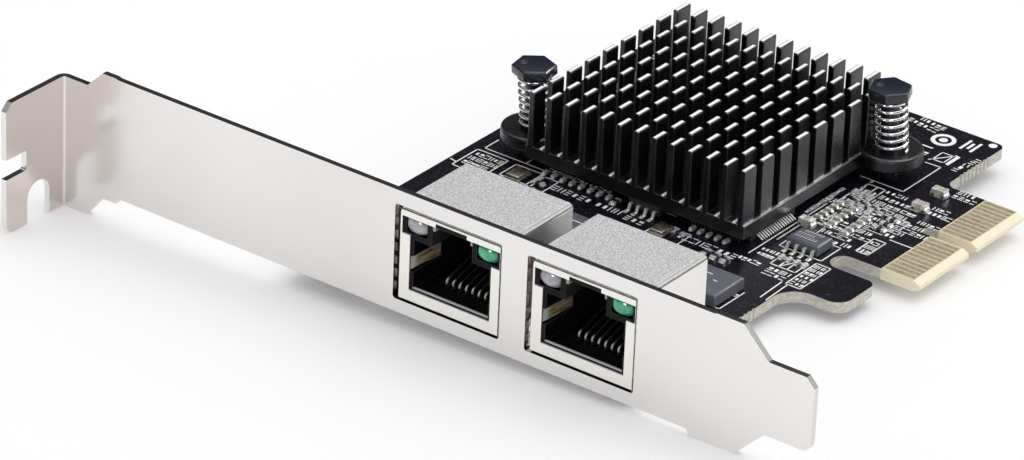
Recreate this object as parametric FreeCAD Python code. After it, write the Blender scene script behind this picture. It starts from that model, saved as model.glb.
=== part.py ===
# Two-port network interface card: a folded steel bracket, a circuit board with a slot edge
# connector, two shielded sockets and a pin-fin heat sink held by two sprung push pins.
#
# Datum of the model: X runs along the bracket from the outer face of its screw flange to its tail,
# Y runs from the outer face of the bracket back along the board, Z is up from the component side.
# The finished solids are then moved so that the origin is the middle of the bottom of the card.
import FreeCAD, Part
import math
import os
from FreeCAD import Vector

# ---- bracket (folded sheet)
sheet = 0.86                 # thickness of the steel
bendRadius = 0.40            # inside radius of the flange bend
bracketLength = 120.02       # outer face of the flange to the end of the tail
panelWidth = 18.42
panelTop = 16.07             # upper edge of the panel above the component side
neckEnd = 4.93               # the neck next to the flange ends here
neckDrop = 2.54              # upper edge of the neck below the upper edge of the panel
neckWidth = 19.05
neckToTrim = 2.33            # the long edges are trimmed back from here
trimToTail = 7.17            # to here along the lower edge
upperTrimToTail = 4.10       # and to here along the upper edge
lowerTrim = 0.88
upperTrim = 0.14
shoulderRadius = 0.30
tailLength = 6.82
tailWidth = 10.19
tailDrop = 3.90              # upper edge of the tail below the upper edge of the panel
tailChamfer = 1.25
tailRadius = 1.40
flangeDepth = 11.43
flangeChamfer = 1.10
flangeRadius = 1.60
screwSlotWidth = 4.42
screwSlotToEdge = 6.35       # axis of the screw slot to the free edge of the flange
screwSlotTop = -2.10         # centre of the round end of the slot
sideNotchDepth = 3.95
sideNotchBottom = 2.55
sideNotchTop = 5.45
sideNotchRadius = 0.35

# ---- feet of the bracket that carry the board
wallFootLength = 8.70        # how far both feet reach back from the panel
wallFootHeight = 13.35       # height of the folded wall beside the first socket
wallFootReach = 9.00         # width of the screw foot folded out of that wall
smallFootLength = 7.60
largeScrewR = 1.45           # 3 mm screw
smallScrewShare = 0.475      # screw radius of the middle foot over half the foot's width
screwHoleGap = 0.10
screwHeadRatio = 1.75        # head radius over shank radius
screwHeadRise = 1.25
screwRecess = 0.70
screwRecessWidth = 0.40      # share of the shank radius

# ---- circuit board
boardThick = 1.57
boardLeft = 37.50
boardRight = 92.20
boardFront = 1.10            # behind the panel
boardRear = 87.50
boardCornerR = 1.20
tongueStart = 47.85          # first edge of the edge connector, measured from the bracket
nearSection = 11.65
keyWidth = 1.90
farSection = 11.30
keyDepth = 7.90              # of the key slot, from the end of the tongue
tongueEnd = 104.55
bevelLength = 1.05
bevelDepth = 0.50
tongueRootR = 1.50
hookFront = 36.20            # front edge of the retention hook
hookRear = 44.15
hookEnd = 100.30
hookCornerR = 2.30
hookTipR = 1.30              # the corner of the hook beside its slot
hookRootR = 3.60
roundEnd = 0.01              # flat left between the two arcs of a round slot end
snapBite = 0.32              # notches where the board was snapped out of its panel
snapPitch = 0.95
frontSnap = (24.20, 4)       # first mark behind the front edge of the board, and how many
rearSnap = (11.00, 8)        # first mark ahead of the rear edge, and how many

# ---- contacts of the edge connector
contactPitch = 1.00
contactWidth = 0.72
contactSetback = 1.15        # from the end of the tongue
contactLength = 4.65
contactThick = 0.05
nearContactCount = 11
farContactCount = 11

# ---- sockets
port1X = 64.50
portPitch = 20.85
jackWidth = 15.95
jackBottom = 0.60
jackTop = 13.50
jackFront = 0.30             # socket face behind the outer face of the panel
jackRear = 15.20
shieldSheet = 0.25
shieldCornerR = 0.70
cutoutGap = 0.45             # panel cutout around a socket
cutoutShift = -0.25          # the cutouts sit a little towards the flange
cutoutRadius = 0.40
plugHalf = 5.95              # half the width of the plug cavity
plugFloor = 1.85             # cavity floor above the bottom of the socket
plugHeight = 6.90
plugRearWall = 2.90
windowGap = 0.45             # window beyond the cavity on either side
windowSill = 0.30            # window below the cavity floor
shoulderDrop = 3.55          # the window widens for the lamps this far below the top
lampWindowMargin = 0.275     # metal left beside a lamp window
lampWindowDrop = 1.05
latchGapHalf = 2.45
latchGapDrop = 0.50
latchHalf = 3.15
latchDrop = 1.25
fingerLift = 2.55            # spring fingers above the cavity floor
fingerRise = 1.75
fingerLength = 5.60
fingerTilt = 0.28
lampWidth = 3.30
lampHeight = 2.35
lampFront = 0.40             # lens behind the face of the shield
lampLength = 9.00
lampDome = 0.55
lampInset = 2.425            # lamp axis inside the wall of the shell
lampDrop = 2.15              # lamp axis below the top of the shell
legWidth = 0.46
legHoleGap = 0.16
legReach = 1.10              # solder legs below the board
legPitch = 1.27
legRowGap = 2.54             # the contact legs stand in two staggered rows
legRowBack = 6.10            # rear row of contact legs ahead of the rear of the socket
lampLegBack = 2.20
lampLegSpread = 1.10
postWidth = 0.80
pegR = 1.00                  # moulded feet that stand on the board
pegBack = 2.50

# ---- contact wires in a socket
wireCount = 8
wirePitch = 1.02
wireWidth = 0.34
wireThick = 0.26
wireSetback = 3.10           # noses of the wires behind the socket face
wireTipLift = 0.50           # noses above the cavity floor
wireEndLift = 2.45
wireSlotGap = 0.12
wireBedDrop = 0.65           # wires lie this far below the floor of the plug cavity

# ---- magnetics behind the sockets
magneticLength = 15.00
magneticDepth = 6.70
magneticGap = 9.70           # behind the sockets
magneticShift = -4.55        # block axis beside the middle of its socket
magneticTop = 1.85
magneticStand = 0.12
magneticChamfer = 0.25
magneticPads = 10
magneticPadPitch = 1.27
magneticPadWidth = 0.50
magneticPadReach = 0.35

# ---- heat sink
finsAcross = 13
finsDeep = 9
finPitchX = 2.825
finPitchY = 4.07
finThick = 0.86
finLength = 3.05
sinkX = 64.90
sinkY = 57.25
sinkLedge = 0.28
sinkBottom = 1.90
sinkBase = 1.95
sinkTop = 11.72
earX = 19.75                 # ear axis from the middle of the sink, mirrored for the other ear
earY = 13.25
earR = 4.40
earThick = 1.70
earChamfer = 0.35

# ---- push pins and their springs
pinHeadFlats = 5.30
pinHeadRise = 1.35
pinHeadChamfer = 0.22
pinTurns = (38.5, 52.0)      # the hex heads stand turned, in degrees
pinTop = 13.12
pinR = 1.25
pinHoleGap = 0.20
barbR = 1.90
barbTipR = 0.70
barbCollar = 0.60
barbRise = 2.40
barbSplit = 0.50
springWire = 0.52
springR = 1.86
springTurns = 6.5
springGap = 0.02             # running gap at each end of the coil
springFacets = 10            # facets in one turn
wireFacets = 6               # facets round the wire

# ---- chips under and beside the heat sink
bridgeSize = 10.00
bridgeX = 76.60
bridgeY = 47.75
bridgeTop = 1.50
bridgeStand = 0.10
bridgeBevel = 0.15
bridgeLeads = 16
bridgeLeadPitch = 0.50
bridgeLeadWidth = 0.22
bridgeLeadReach = 1.00
bridgeLeadRise = 0.70
controllerSize = 9.00
controllerTop = 0.95
controllerBevel = 0.08
controller1 = (56.50, 49.80)
controller2 = (60.50, 66.20)
padMargin = 0.50             # thermal pads end this far inside their chip
eightLead1 = (88.20, 46.50)  # two chips with four leads on either long side
eightLead2 = (66.30, 41.80)
eightLeadLength = 4.90
eightLeadWidth = 3.50
eightLeadTop = 1.60
eightLeadStand = 0.15
eightLeadBevel = 0.25
gullCount = 4                # leads on one side
gullPitch = 1.27
gullWidth = 0.42
gullReach = 1.30
gullRise = 0.95
leadThick = 0.15
leadKnee = 0.35              # share of a gull lead's reach where it turns down
leadAnkle = 0.60             # share where it turns out again
crystalLength = 3.00
crystalWidth = 2.40
crystalTop = 0.78
crystalBase = 0.32
crystalLip = 0.15            # lid inside the edge of its base
crystalBevel = 0.10
crystals = ((47.75, 37.30), (71.15, 37.30))

# ---- small parts stand in rows: first place, last place, pitch, and whether they lie along X
capSize = (1.00, 0.52, 0.50)
smallCaps = (
    ((50.10, 40.20), (60.60, 40.20), 1.50, False),
    ((73.95, 40.40), (79.30, 40.40), 1.33, False),
    ((84.60, 53.90), (84.60, 58.90), 1.25, True),
    ((86.90, 52.60), (86.90, 58.85), 1.25, True),
    ((89.70, 52.40), (89.70, 57.60), 1.30, True),
    ((84.30, 62.90), (86.60, 62.90), 1.15, False),
    ((87.20, 41.60), (90.80, 41.60), 1.20, False),
    ((72.30, 33.20), (75.10, 33.20), 1.40, False),
    ((54.00, 77.60), (64.50, 77.60), 1.50, False),
    ((69.00, 77.60), (75.00, 77.60), 1.50, False),
)
resSize = (1.60, 0.80, 0.45)
resistors = (
    ((61.95, 39.75), (61.95, 39.75), 1.50, False),
    ((73.30, 38.20), (73.30, 38.20), 1.50, True),
    ((85.70, 60.60), (90.20, 60.60), 1.50, False),
    ((92.60, 56.40), (92.60, 59.60), 1.60, True),
    ((51.20, 35.20), (51.20, 37.30), 2.10, True),
    ((79.00, 36.20), (82.00, 36.20), 1.50, False),
    ((60.00, 80.40), (67.20, 80.40), 2.40, True),
)
bulkSize = (2.00, 1.25, 1.15)
bulkCaps = (
    ((93.30, 69.60), (93.30, 69.60), 2.40, True),
    ((93.50, 64.60), (93.50, 64.60), 2.40, True),
    ((84.60, 51.20), (84.60, 51.20), 2.40, True),
    ((46.20, 79.60), (46.20, 82.00), 2.40, True),
)
coilSize = (3.00, 3.00, 1.60)
coils = (
    ((44.50, 60.00), (44.50, 64.40), 4.40, True),
    ((44.50, 69.60), (44.50, 69.60), 4.40, True),
)

# ---- values that follow from the ones above
neckTop = panelTop - neckDrop
neckBottom = neckTop - neckWidth
panelBottom = panelTop - panelWidth
panelStart = neckEnd + neckDrop
tailTop = panelTop - tailDrop
tailBottom = tailTop - tailWidth
tailNeck = bracketLength - tailLength
tailShoulder = tailNeck - (tailBottom - panelBottom)
trimStart = panelStart + neckToTrim
trimEnd = tailShoulder - trimToTail
upperTrimEnd = tailNeck - tailDrop - upperTrimToTail
screwSlotY = screwSlotToEdge - flangeDepth
ports = (port1X, port1X + portPitch)
jackLeft = [x - jackWidth / 2 for x in ports]
jackRight = [x + jackWidth / 2 for x in ports]
cutLeft = [x - cutoutGap + cutoutShift for x in jackLeft]
cutRight = [x + cutoutGap + cutoutShift for x in jackRight]
keyStart = tongueStart + nearSection
farStart = keyStart + keyWidth
tongueFar = farStart + farSection
slotR = (tongueStart - hookRear) / 2
keyInner = tongueEnd - keyDepth
contactOuter = tongueEnd - contactSetback
contactInner = contactOuter - contactLength
plugBottom = jackBottom + plugFloor
plugTop = plugBottom + plugHeight
plugDepth = jackRear - plugRearWall
windowHalf = plugHalf + windowGap
windowBottom = plugBottom - windowSill
windowShoulder = jackTop - shoulderDrop
lampWindowHalf = jackWidth / 2 - lampWindowMargin
lampWindowTop = jackTop - lampWindowDrop
latchGapTop = jackTop - latchGapDrop
latchTop = jackTop - latchDrop
lampCentre = jackWidth / 2 - lampInset
lampZ = jackTop - lampDrop
fingerBottom = plugBottom + fingerLift
wireTipY = jackFront + wireSetback
wireTipZ = plugBottom + wireTipLift
wireEndZ = plugBottom + wireEndLift
magneticFront = jackRear + magneticGap
sinkFloor = sinkBottom + sinkBase
sinkHalfX = (finsAcross - 1) / 2 * finPitchX + finThick / 2 + sinkLedge
sinkHalfY = (finsDeep - 1) / 2 * finPitchY + finLength / 2
pins = ((sinkX - earX, sinkY - earY), (sinkX + earX, sinkY + earY))
headBottom = pinTop - pinHeadRise
wallFootX = cutLeft[0] - sheet
smallFootHalf = (portPitch - jackWidth) / 2 - cutoutGap
footHoles = (
    (wallFootX - wallFootReach / 2, sheet + wallFootLength / 2, largeScrewR),
    ((jackRight[0] + jackLeft[1]) / 2, sheet + smallFootLength / 2, smallFootHalf * smallScrewShare),
)
lowest = min(neckBottom, panelBottom, -boardThick - barbRise)
shift = Vector(-bracketLength / 2, -(boardRear - flangeDepth) / 2, -lowest)


# ---- shapes in the datum
def block(x0, x1, y0, y1, z0, z1):
    return Part.makeBox(x1 - x0, y1 - y0, z1 - z0, Vector(x0, y0, z0))


def rod(x, y, z0, z1, r):
    return Part.makeCylinder(r, z1 - z0, Vector(x, y, z0))


def outlineFace(corners, plane):
    """A closed outline of straight runs, each corner (u, v, r) rounded with its own radius r."""
    runs = []
    count = len(corners)
    flat = [Vector(c[0], c[1], 0) for c in corners]
    starts, ends, arcs = [], [], []
    for i in range(count):
        here = flat[i]
        back = (flat[i - 1] - here).normalize()
        ahead = (flat[(i + 1) % count] - here).normalize()
        r = corners[i][2]
        half = back.getAngle(ahead) / 2
        reach = r / math.tan(half)
        a = here + back * reach
        b = here + ahead * reach
        middle = (back + ahead).normalize()
        arcs.append(here + middle * (r / math.sin(half) - r))
        starts.append(a)
        ends.append(b)
    place = {"XY": lambda p: Vector(p.x, p.y, 0),
             "XZ": lambda p: Vector(p.x, 0, p.y),
             "YZ": lambda p: Vector(0, p.x, p.y)}[plane]
    for i in range(count):
        if corners[i][2] > 0:
            runs.append(Part.Arc(place(starts[i]), place(arcs[i]), place(ends[i])).toShape())
        following = (i + 1) % count
        if (starts[following] - ends[i]).Length > 1e-6:
            runs.append(Part.LineSegment(place(ends[i]), place(starts[following])).toShape())
    return Part.Face(Part.Wire(runs))


def prism(corners, plane, low, high):
    """The outline given as (u, v, r) corners, extruded along the third axis from low to high."""
    axis = {"XY": Vector(0, 0, 1), "XZ": Vector(0, 1, 0), "YZ": Vector(1, 0, 0)}[plane]
    face = outlineFace(corners, plane)
    face.translate(axis * low)
    return face.extrude(axis * (high - low))


def sharp(points):
    return [(u, v, 0) for u, v in points]


def gather(shapes):
    """A node of several separate solids."""
    return Part.makeCompound(shapes)


def edgesAt(shape, z):
    """Edges of the shape that lie flat at the height z."""
    return [e for e in shape.Edges if abs(e.BoundBox.ZMin - z) < 1e-6 and abs(e.BoundBox.ZMax - z) < 1e-6]


def row(first, last, pitch):
    """Places of equal small parts along a straight row."""
    start, run = Vector(*first), Vector(*last) - Vector(*first)
    gaps = round(run.Length / pitch)
    return [start + run * (i / max(gaps, 1)) for i in range(gaps + 1)]


# ---- bracket
def bracketSection():
    """Folded section in plan: flange, bend and panel as one strip of constant thickness."""
    outer = bendRadius + sheet
    turn = math.sqrt(0.5)
    centre = Vector(outer, -bendRadius, 0)
    flangeEnd = -flangeDepth
    outerMid = centre + Vector(-outer * turn, outer * turn, 0)
    innerMid = centre + Vector(-bendRadius * turn, bendRadius * turn, 0)
    points = [Vector(0, flangeEnd, 0), Vector(0, -bendRadius, 0), Vector(outer, sheet, 0),
              Vector(bracketLength, sheet, 0), Vector(bracketLength, 0, 0), Vector(outer, 0, 0),
              Vector(sheet, -bendRadius, 0), Vector(sheet, flangeEnd, 0)]
    edges = [Part.LineSegment(points[0], points[1]).toShape(),
             Part.Arc(points[1], outerMid, points[2]).toShape(),
             Part.LineSegment(points[2], points[3]).toShape(),
             Part.LineSegment(points[3], points[4]).toShape(),
             Part.LineSegment(points[4], points[5]).toShape(),
             Part.Arc(points[5], innerMid, points[6]).toShape(),
             Part.LineSegment(points[6], points[7]).toShape(),
             Part.LineSegment(points[7], points[0]).toShape()]
    face = Part.Face(Part.Wire(edges))
    face.translate(Vector(0, 0, neckBottom))
    return face.extrude(Vector(0, 0, panelTop - neckBottom))


def bracketOutline():
    """Front outline of the panel: neck, trimmed long edges and narrow tail."""
    upper = panelTop - upperTrim
    lower = panelBottom + lowerTrim
    r = shoulderRadius
    corners = [
        (0, neckTop, 0), (neckEnd, neckTop, r), (panelStart, panelTop, 0),
        (trimStart, panelTop, 0), (trimStart + upperTrim, upper, 0),
        (upperTrimEnd - upperTrim, upper, 0), (upperTrimEnd, panelTop, 0),
        (tailNeck - tailDrop, panelTop, r), (tailNeck, tailTop, r),
        (bracketLength - tailChamfer, tailTop, 0), (bracketLength, tailTop - tailChamfer, 0),
        (bracketLength, tailBottom, tailRadius),
        (tailNeck, tailBottom, r), (tailShoulder, panelBottom, r),
        (trimEnd + lowerTrim / 2, panelBottom, 0), (trimEnd, lower, 0),
        (trimStart + lowerTrim / 2, lower, 0), (trimStart, panelBottom, 0),
        (panelStart, panelBottom, 0), (neckEnd, neckBottom, r), (0, neckBottom, 0),
    ]
    return prism(corners, "XZ", -flangeDepth - sheet, sheet * 2)


def flangeOutline():
    """Outline of the screw flange, with its open screw slot and side notch."""
    edge = -flangeDepth
    inner = sheet * 2
    left = screwSlotY - screwSlotWidth / 2
    right = screwSlotY + screwSlotWidth / 2
    r = flangeRadius
    body = prism([(edge, neckBottom, r), (inner, neckBottom, 0), (inner, neckTop + panelWidth, 0),
                  (edge + flangeChamfer, neckTop + panelWidth, 0),
                  (edge + flangeChamfer, neckTop, 0), (edge, neckTop - flangeChamfer, 0)],
                 "YZ", -sheet, bracketLength + sheet)
    slot = block(-sheet, sheet * 2, left, right, neckBottom - sheet, screwSlotTop)
    slotStart = Vector(-sheet, screwSlotY, screwSlotTop)
    slotEnd = Part.makeCylinder(screwSlotWidth / 2, sheet * 3, slotStart, Vector(1, 0, 0))
    deep = edge + sideNotchDepth
    notch = prism([(edge - sheet, sideNotchBottom, 0), (deep, sideNotchBottom, sideNotchRadius),
                   (deep, sideNotchTop, sideNotchRadius), (edge - sheet, sideNotchTop, 0)],
                  "YZ", -sheet, sheet * 2)
    return body.cut(slot.fuse(slotEnd)).cut(notch)


def bracketFeet():
    """The wall folded back beside the first socket with its screw foot, and the small middle foot."""
    x, y, r = footHoles[0]
    wall = block(wallFootX, wallFootX + sheet, sheet, sheet + wallFootLength, 0, wallFootHeight)
    foot = prism([(wallFootX - wallFootReach, sheet, 0), (wallFootX + sheet, sheet, 0),
                  (wallFootX + sheet, sheet + wallFootLength, 0),
                  (wallFootX - wallFootReach, sheet + wallFootLength, flangeRadius)], "XY", 0, sheet)
    feet = wall.fuse(foot).cut(rod(x, y, -sheet, sheet * 2, r + screwHoleGap / 2))
    x, y, r = footHoles[1]
    small = block(x - smallFootHalf, x + smallFootHalf, sheet, sheet + smallFootLength, 0, sheet)
    small = small.cut(rod(x, y, -sheet, sheet * 2, r + screwHoleGap / 2))
    return feet, small


def bracket():
    body = bracketSection().common(bracketOutline()).common(flangeOutline())
    for left, right in zip(cutLeft, cutRight):
        r = cutoutRadius
        low, high = jackBottom - cutoutGap / 2, jackTop + cutoutGap
        window = [(left, low, r), (right, low, r), (right, high, r), (left, high, r)]
        body = body.cut(prism(window, "XZ", -sheet, sheet * 2))
    feet, small = bracketFeet()
    return body.fuse(feet).fuse(small).removeSplitter()


def boardScrews():
    """Pan-head screws driven from the solder side into the two feet."""
    shapes = []
    for x, y, r in footHoles:
        headR = r * screwHeadRatio
        shank = rod(x, y, -boardThick, sheet, r)
        head = rod(x, y, -boardThick - screwHeadRise, -boardThick, headR)
        head = head.makeChamfer(screwHeadRise / 2, edgesAt(head, -boardThick - screwHeadRise))
        deep = -boardThick - screwHeadRise
        slim = r * screwRecessWidth / 2
        wide = block(x - headR / 2, x + headR / 2, y - slim, y + slim, deep, deep + screwRecess)
        tall = block(x - slim, x + slim, y - headR / 2, y + headR / 2, deep, deep + screwRecess)
        shapes.append(shank.fuse(head).cut(wide.fuse(tall)))
    return gather(shapes)


# ---- circuit board
def boardOutline():
    """Plan of the board: main field, retention hook, hook slot, keyed tongue and rear corner."""
    c = boardCornerR
    keyR = keyWidth / 2 - roundEnd
    corners = [
        (boardLeft, boardFront, c / 2), (boardRight, boardFront, c / 2),
        (boardRight, hookFront, hookRootR), (hookEnd, hookFront, hookCornerR),
        (hookEnd, hookRear, hookTipR), (boardRight, hookRear, slotR - roundEnd),
        (boardRight, tongueStart, slotR - roundEnd), (tongueEnd, tongueStart, 0),
        (tongueEnd, keyStart, 0), (keyInner, keyStart, keyR), (keyInner, farStart, keyR),
        (tongueEnd, farStart, 0), (tongueEnd, tongueFar, 0), (boardRight, tongueFar, tongueRootR),
        (boardRight, boardRear, c), (boardLeft, boardRear, c),
    ]
    return prism(corners, "XY", -boardThick, 0)


def tongueBevels():
    """Wedges that bevel the leading edge of the tongue on both faces."""
    low, high = tongueStart - keyWidth, tongueFar + keyWidth
    start, end = tongueEnd - bevelLength, tongueEnd + bevelLength
    top = prism(sharp([(start, 0), (end, 0), (end, -bevelDepth * 2)]), "XZ", low, high)
    under = prism(sharp([(start, -boardThick), (end, bevelDepth * 2 - boardThick), (end, -boardThick)]),
                  "XZ", low, high)
    return top.fuse(under)


def snapMarks():
    """Small notches with slanted sides on the outer edge, near the bracket and the rear corner."""
    bites = []
    for first, count in ((boardFront + frontSnap[0], frontSnap[1]), (boardRear - rearSnap[0], rearSnap[1])):
        for i in range(count):
            y = first + i * snapPitch
            deep, out = boardRight - snapBite / 2, boardRight + snapBite
            narrow = snapBite / 2
            notch = [(out, y - snapBite), (out, y + snapBite), (deep, y + narrow), (deep, y - narrow)]
            bites.append(prism(sharp(notch), "XY", -boardThick * 2, boardThick))
    return bites


def jackLegs(x):
    """Places of the solder legs of the socket at x: eight contact legs and four lamp legs."""
    places = []
    for i in range(wireCount):
        offset = (i - (wireCount - 1) / 2) * legPitch
        places.append((x + offset, jackRear - legRowBack - (i % 2) * legRowGap))
    for side in (-1, 1):
        for spread in (-lampLegSpread, lampLegSpread):
            places.append((x + side * (lampCentre + spread), jackRear - lampLegBack))
    return places


def slotHole(u, v, halfX, halfY):
    """Square or oblong hole through the board."""
    return block(u - halfX, u + halfX, v - halfY, v + halfY, -boardThick * 2, boardThick)


def circuitBoard():
    body = boardOutline().cut(tongueBevels())
    holes = snapMarks()
    holes += [rod(x, y, -boardThick * 2, boardThick, pinR + pinHoleGap) for x, y in pins]
    holes += [rod(x, y, -boardThick * 2, boardThick, r + screwHoleGap) for x, y, r in footHoles]
    legRoom = legWidth / 2 + legHoleGap
    for x in ports:
        holes += [slotHole(u, v, legRoom, legRoom) for u, v in jackLegs(x)]
        for side in (-1, 1):
            u = x + side * (jackWidth - shieldSheet) / 2
            holes.append(slotHole(u, jackRear / 2, shieldSheet / 2 + legHoleGap, postWidth / 2 + legHoleGap))
    return body.cut(gather(holes))


def edgeContacts():
    pads = []
    under = -boardThick - contactThick
    fields = ((tongueStart, nearSection, nearContactCount), (farStart, farSection, farContactCount))
    for start, length, count in fields:
        first = start + length / 2 - (count - 1) / 2 * contactPitch
        for i in range(count):
            y = first + i * contactPitch
            low, high = y - contactWidth / 2, y + contactWidth / 2
            pads.append(block(contactInner, contactOuter, low, high, 0, contactThick))
            pads.append(block(contactInner, contactOuter, low, high, under, -boardThick))
    return gather(pads)


# ---- sockets
def windowOutline(x, low, high):
    """Stepped opening of a socket face: plug window, lamp windows and latch gap."""
    half = [(windowHalf, windowBottom), (windowHalf, windowShoulder), (lampWindowHalf, windowShoulder),
            (lampWindowHalf, lampWindowTop), (latchGapHalf, lampWindowTop), (latchGapHalf, latchGapTop)]
    return prism(mirrored(x, half), "XZ", low, high)


def mirrored(x, half):
    """Sharp corners of an outline symmetric about x, from its right half read upwards."""
    right = [(x + u, v) for u, v in half]
    left = [(x - u, v) for u, v in reversed(half)]
    return sharp(right + left)


def shieldFinger(x, side):
    """A spring finger of the side wall, bent into the socket."""
    root = x + side * windowHalf
    tip = root - side * (fingerTilt + shieldSheet)
    far = jackFront + shieldSheet + fingerLength
    near = jackFront + shieldSheet
    points = [(root, near), (tip, far), (tip + side * shieldSheet, far), (root + side * shieldSheet, near)]
    return prism(sharp(points), "XY", fingerBottom, fingerBottom + fingerRise)


def roundedBox(x, half, low, high, r, front, back):
    """Box centred on x whose two upper long edges are rounded."""
    corners = [(x - half, low, 0), (x + half, low, 0), (x + half, high, r), (x - half, high, r)]
    return prism(corners, "XZ", front, back)


def jackShield(x):
    """Folded tin-plated shell: top, sides, rear, face with its window, and two board posts."""
    half = jackWidth / 2
    s = shieldSheet
    r = shieldCornerR
    shell = roundedBox(x, half, jackBottom, jackTop, r, jackFront, jackRear)
    hollow = roundedBox(x, half - s, jackBottom - s, jackTop - s, r - s, jackFront + s, jackRear - s)
    shell = shell.cut(hollow).cut(windowOutline(x, jackFront - s, jackFront + s * 2))
    for side in (-1, 1):
        wall = x + side * (half - s / 2)
        near, far = (jackRear - postWidth) / 2, (jackRear + postWidth) / 2
        post = block(wall - s / 2, wall + s / 2, near, far, -boardThick - legReach, jackBottom)
        shell = shell.fuse(post)
    return shell.removeSplitter()


def jackFingers(x):
    return [shieldFinger(x, side) for side in (-1, 1)]


def plugCavity(x, front, back):
    """Room for a plug, with the narrower channel of its latch above."""
    half = [(plugHalf, plugBottom), (plugHalf, plugTop), (latchHalf, plugTop), (latchHalf, latchTop)]
    return prism(mirrored(x, half), "XZ", front, back)


def lampPocket(x, side, front, back):
    u = x + side * lampCentre
    low, high = lampZ - lampHeight / 2, lampZ + lampHeight / 2
    return block(u - lampWidth / 2, u + lampWidth / 2, front, back, low, high)


def jackHousing(x):
    """Moulded insulator that fills the shell around the plug cavity and carries wires and lamps."""
    half = jackWidth / 2 - shieldSheet
    front, back = jackFront + shieldSheet, jackRear - shieldSheet
    top = jackTop - shieldSheet
    body = roundedBox(x, half, jackBottom, top, shieldCornerR - shieldSheet, front, back)
    body = body.cut(plugCavity(x, front - shieldSheet, plugDepth))
    room = windowHalf + shieldSheet * 2
    low, high = fingerBottom - shieldSheet, fingerBottom + fingerRise + shieldSheet
    fingerEnd = front + fingerLength + shieldSheet
    body = body.cut(block(x - room, x + room, front - shieldSheet, fingerEnd, low, high))
    for side in (-1, 1):
        body = body.cut(lampPocket(x, side, front - shieldSheet, jackFront + lampFront + lampLength))
        body = body.fuse(rod(x + side * lampCentre, jackFront + pegBack, 0, jackBottom, pegR))
    for u in wirePlaces(x):
        body = body.cut(wireSlot(u))
    return body


def wirePlaces(x):
    return [x + (i - (wireCount - 1) / 2) * wirePitch for i in range(wireCount)]


def wireSlot(u):
    """Slot in the floor and rear wall of the cavity for one contact wire."""
    half = wireWidth / 2 + wireSlotGap
    return block(u - half, u + half, wireTipY - wireSlotGap, plugDepth + wireThick + wireSlotGap,
                 plugBottom - wireBedDrop - wireSlotGap, wireEndZ + wireThick + wireSlotGap)


def contactWire(u):
    """One bent contact wire: nose at the front of the floor, then a slope up to the rear wall."""
    t = wireThick
    low = plugBottom - wireBedDrop
    back = plugDepth + t
    points = [(wireTipY, low), (back, low), (back, low + t), (wireTipY + t * 2, low + t),
              (wireTipY + t, wireTipZ - t), (wireTipY + t * 2, wireTipZ), (plugDepth, wireEndZ),
              (plugDepth, wireEndZ + t), (wireTipY + t, wireTipZ + t), (wireTipY, wireTipZ - t / 2)]
    return prism(sharp(points), "YZ", u - wireWidth / 2, u + wireWidth / 2)


def jackContacts(x):
    return gather([contactWire(u) for u in wirePlaces(x)])


def jackLegsSolid(x):
    half = legWidth / 2
    return gather([block(u - half, u + half, v - half, v + half, -boardThick - legReach, jackBottom)
                   for u, v in jackLegs(x)])


def lamp(x, side):
    """Indicator lamp: a square light guide with a domed face."""
    front = jackFront + lampFront
    guide = lampPocket(x, side, front, front + lampLength)
    span = math.hypot(lampWidth, lampHeight) / 2
    ball = (span * span + lampDome * lampDome) / (2 * lampDome)
    centre = Vector(x + side * lampCentre, front + ball, lampZ)
    cap = Part.makeSphere(ball, centre)
    tail = lampPocket(x, side, front + lampDome, front + lampLength)
    return guide.common(cap).fuse(tail).removeSplitter()


# ---- magnetics
def magnetic(x):
    u = x + magneticShift
    v = magneticFront + magneticDepth / 2
    return chipBody(u, v, magneticLength, magneticDepth, magneticStand, magneticTop, magneticChamfer)


def magneticLeads():
    pads = []
    for x in ports:
        for i in range(magneticPads):
            u = x + magneticShift + (i - (magneticPads - 1) / 2) * magneticPadPitch
            low, high = u - magneticPadWidth / 2, u + magneticPadWidth / 2
            for y in (magneticFront, magneticFront + magneticDepth):
                pads.append(block(low, high, y - magneticPadReach, y + magneticPadReach, 0, magneticStand))
    return gather(pads)


# ---- heat sink
def fin(x, y):
    """One upright pin fin, a slab cut across into short posts."""
    half = finThick / 2
    return block(x - half, x + half, y - finLength / 2, y + finLength / 2, sinkFloor - sinkBase / 2, sinkTop)


def heatSink():
    """Extruded base with two round ears and a field of cross-cut fins."""
    base = block(sinkX - sinkHalfX, sinkX + sinkHalfX, sinkY - sinkHalfY, sinkY + sinkHalfY,
                 sinkBottom, sinkFloor)
    for x, y in pins:
        ear = rod(x, y, sinkFloor - earThick, sinkFloor, earR)
        base = base.fuse(ear.makeChamfer(earChamfer, edgesAt(ear, sinkFloor)))
    fins = []
    for i in range(finsAcross):
        for j in range(finsDeep):
            x = sinkX + (i - (finsAcross - 1) / 2) * finPitchX
            y = sinkY + (j - (finsDeep - 1) / 2) * finPitchY
            fins.append(fin(x, y))
    body = base.multiFuse(fins).removeSplitter()
    for x, y in pins:
        body = body.cut(rod(x, y, 0, sinkTop, pinR + pinHoleGap))
    return body


# ---- push pins
def hexagon(x, y, flats, z0, z1, start):
    r = flats / math.sqrt(3)
    turns = [math.radians(60 * k + start) for k in range(6)]
    corners = [(x + r * math.cos(a), y + r * math.sin(a)) for a in turns]
    return prism(sharp(corners), "XY", z0, z1)


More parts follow.
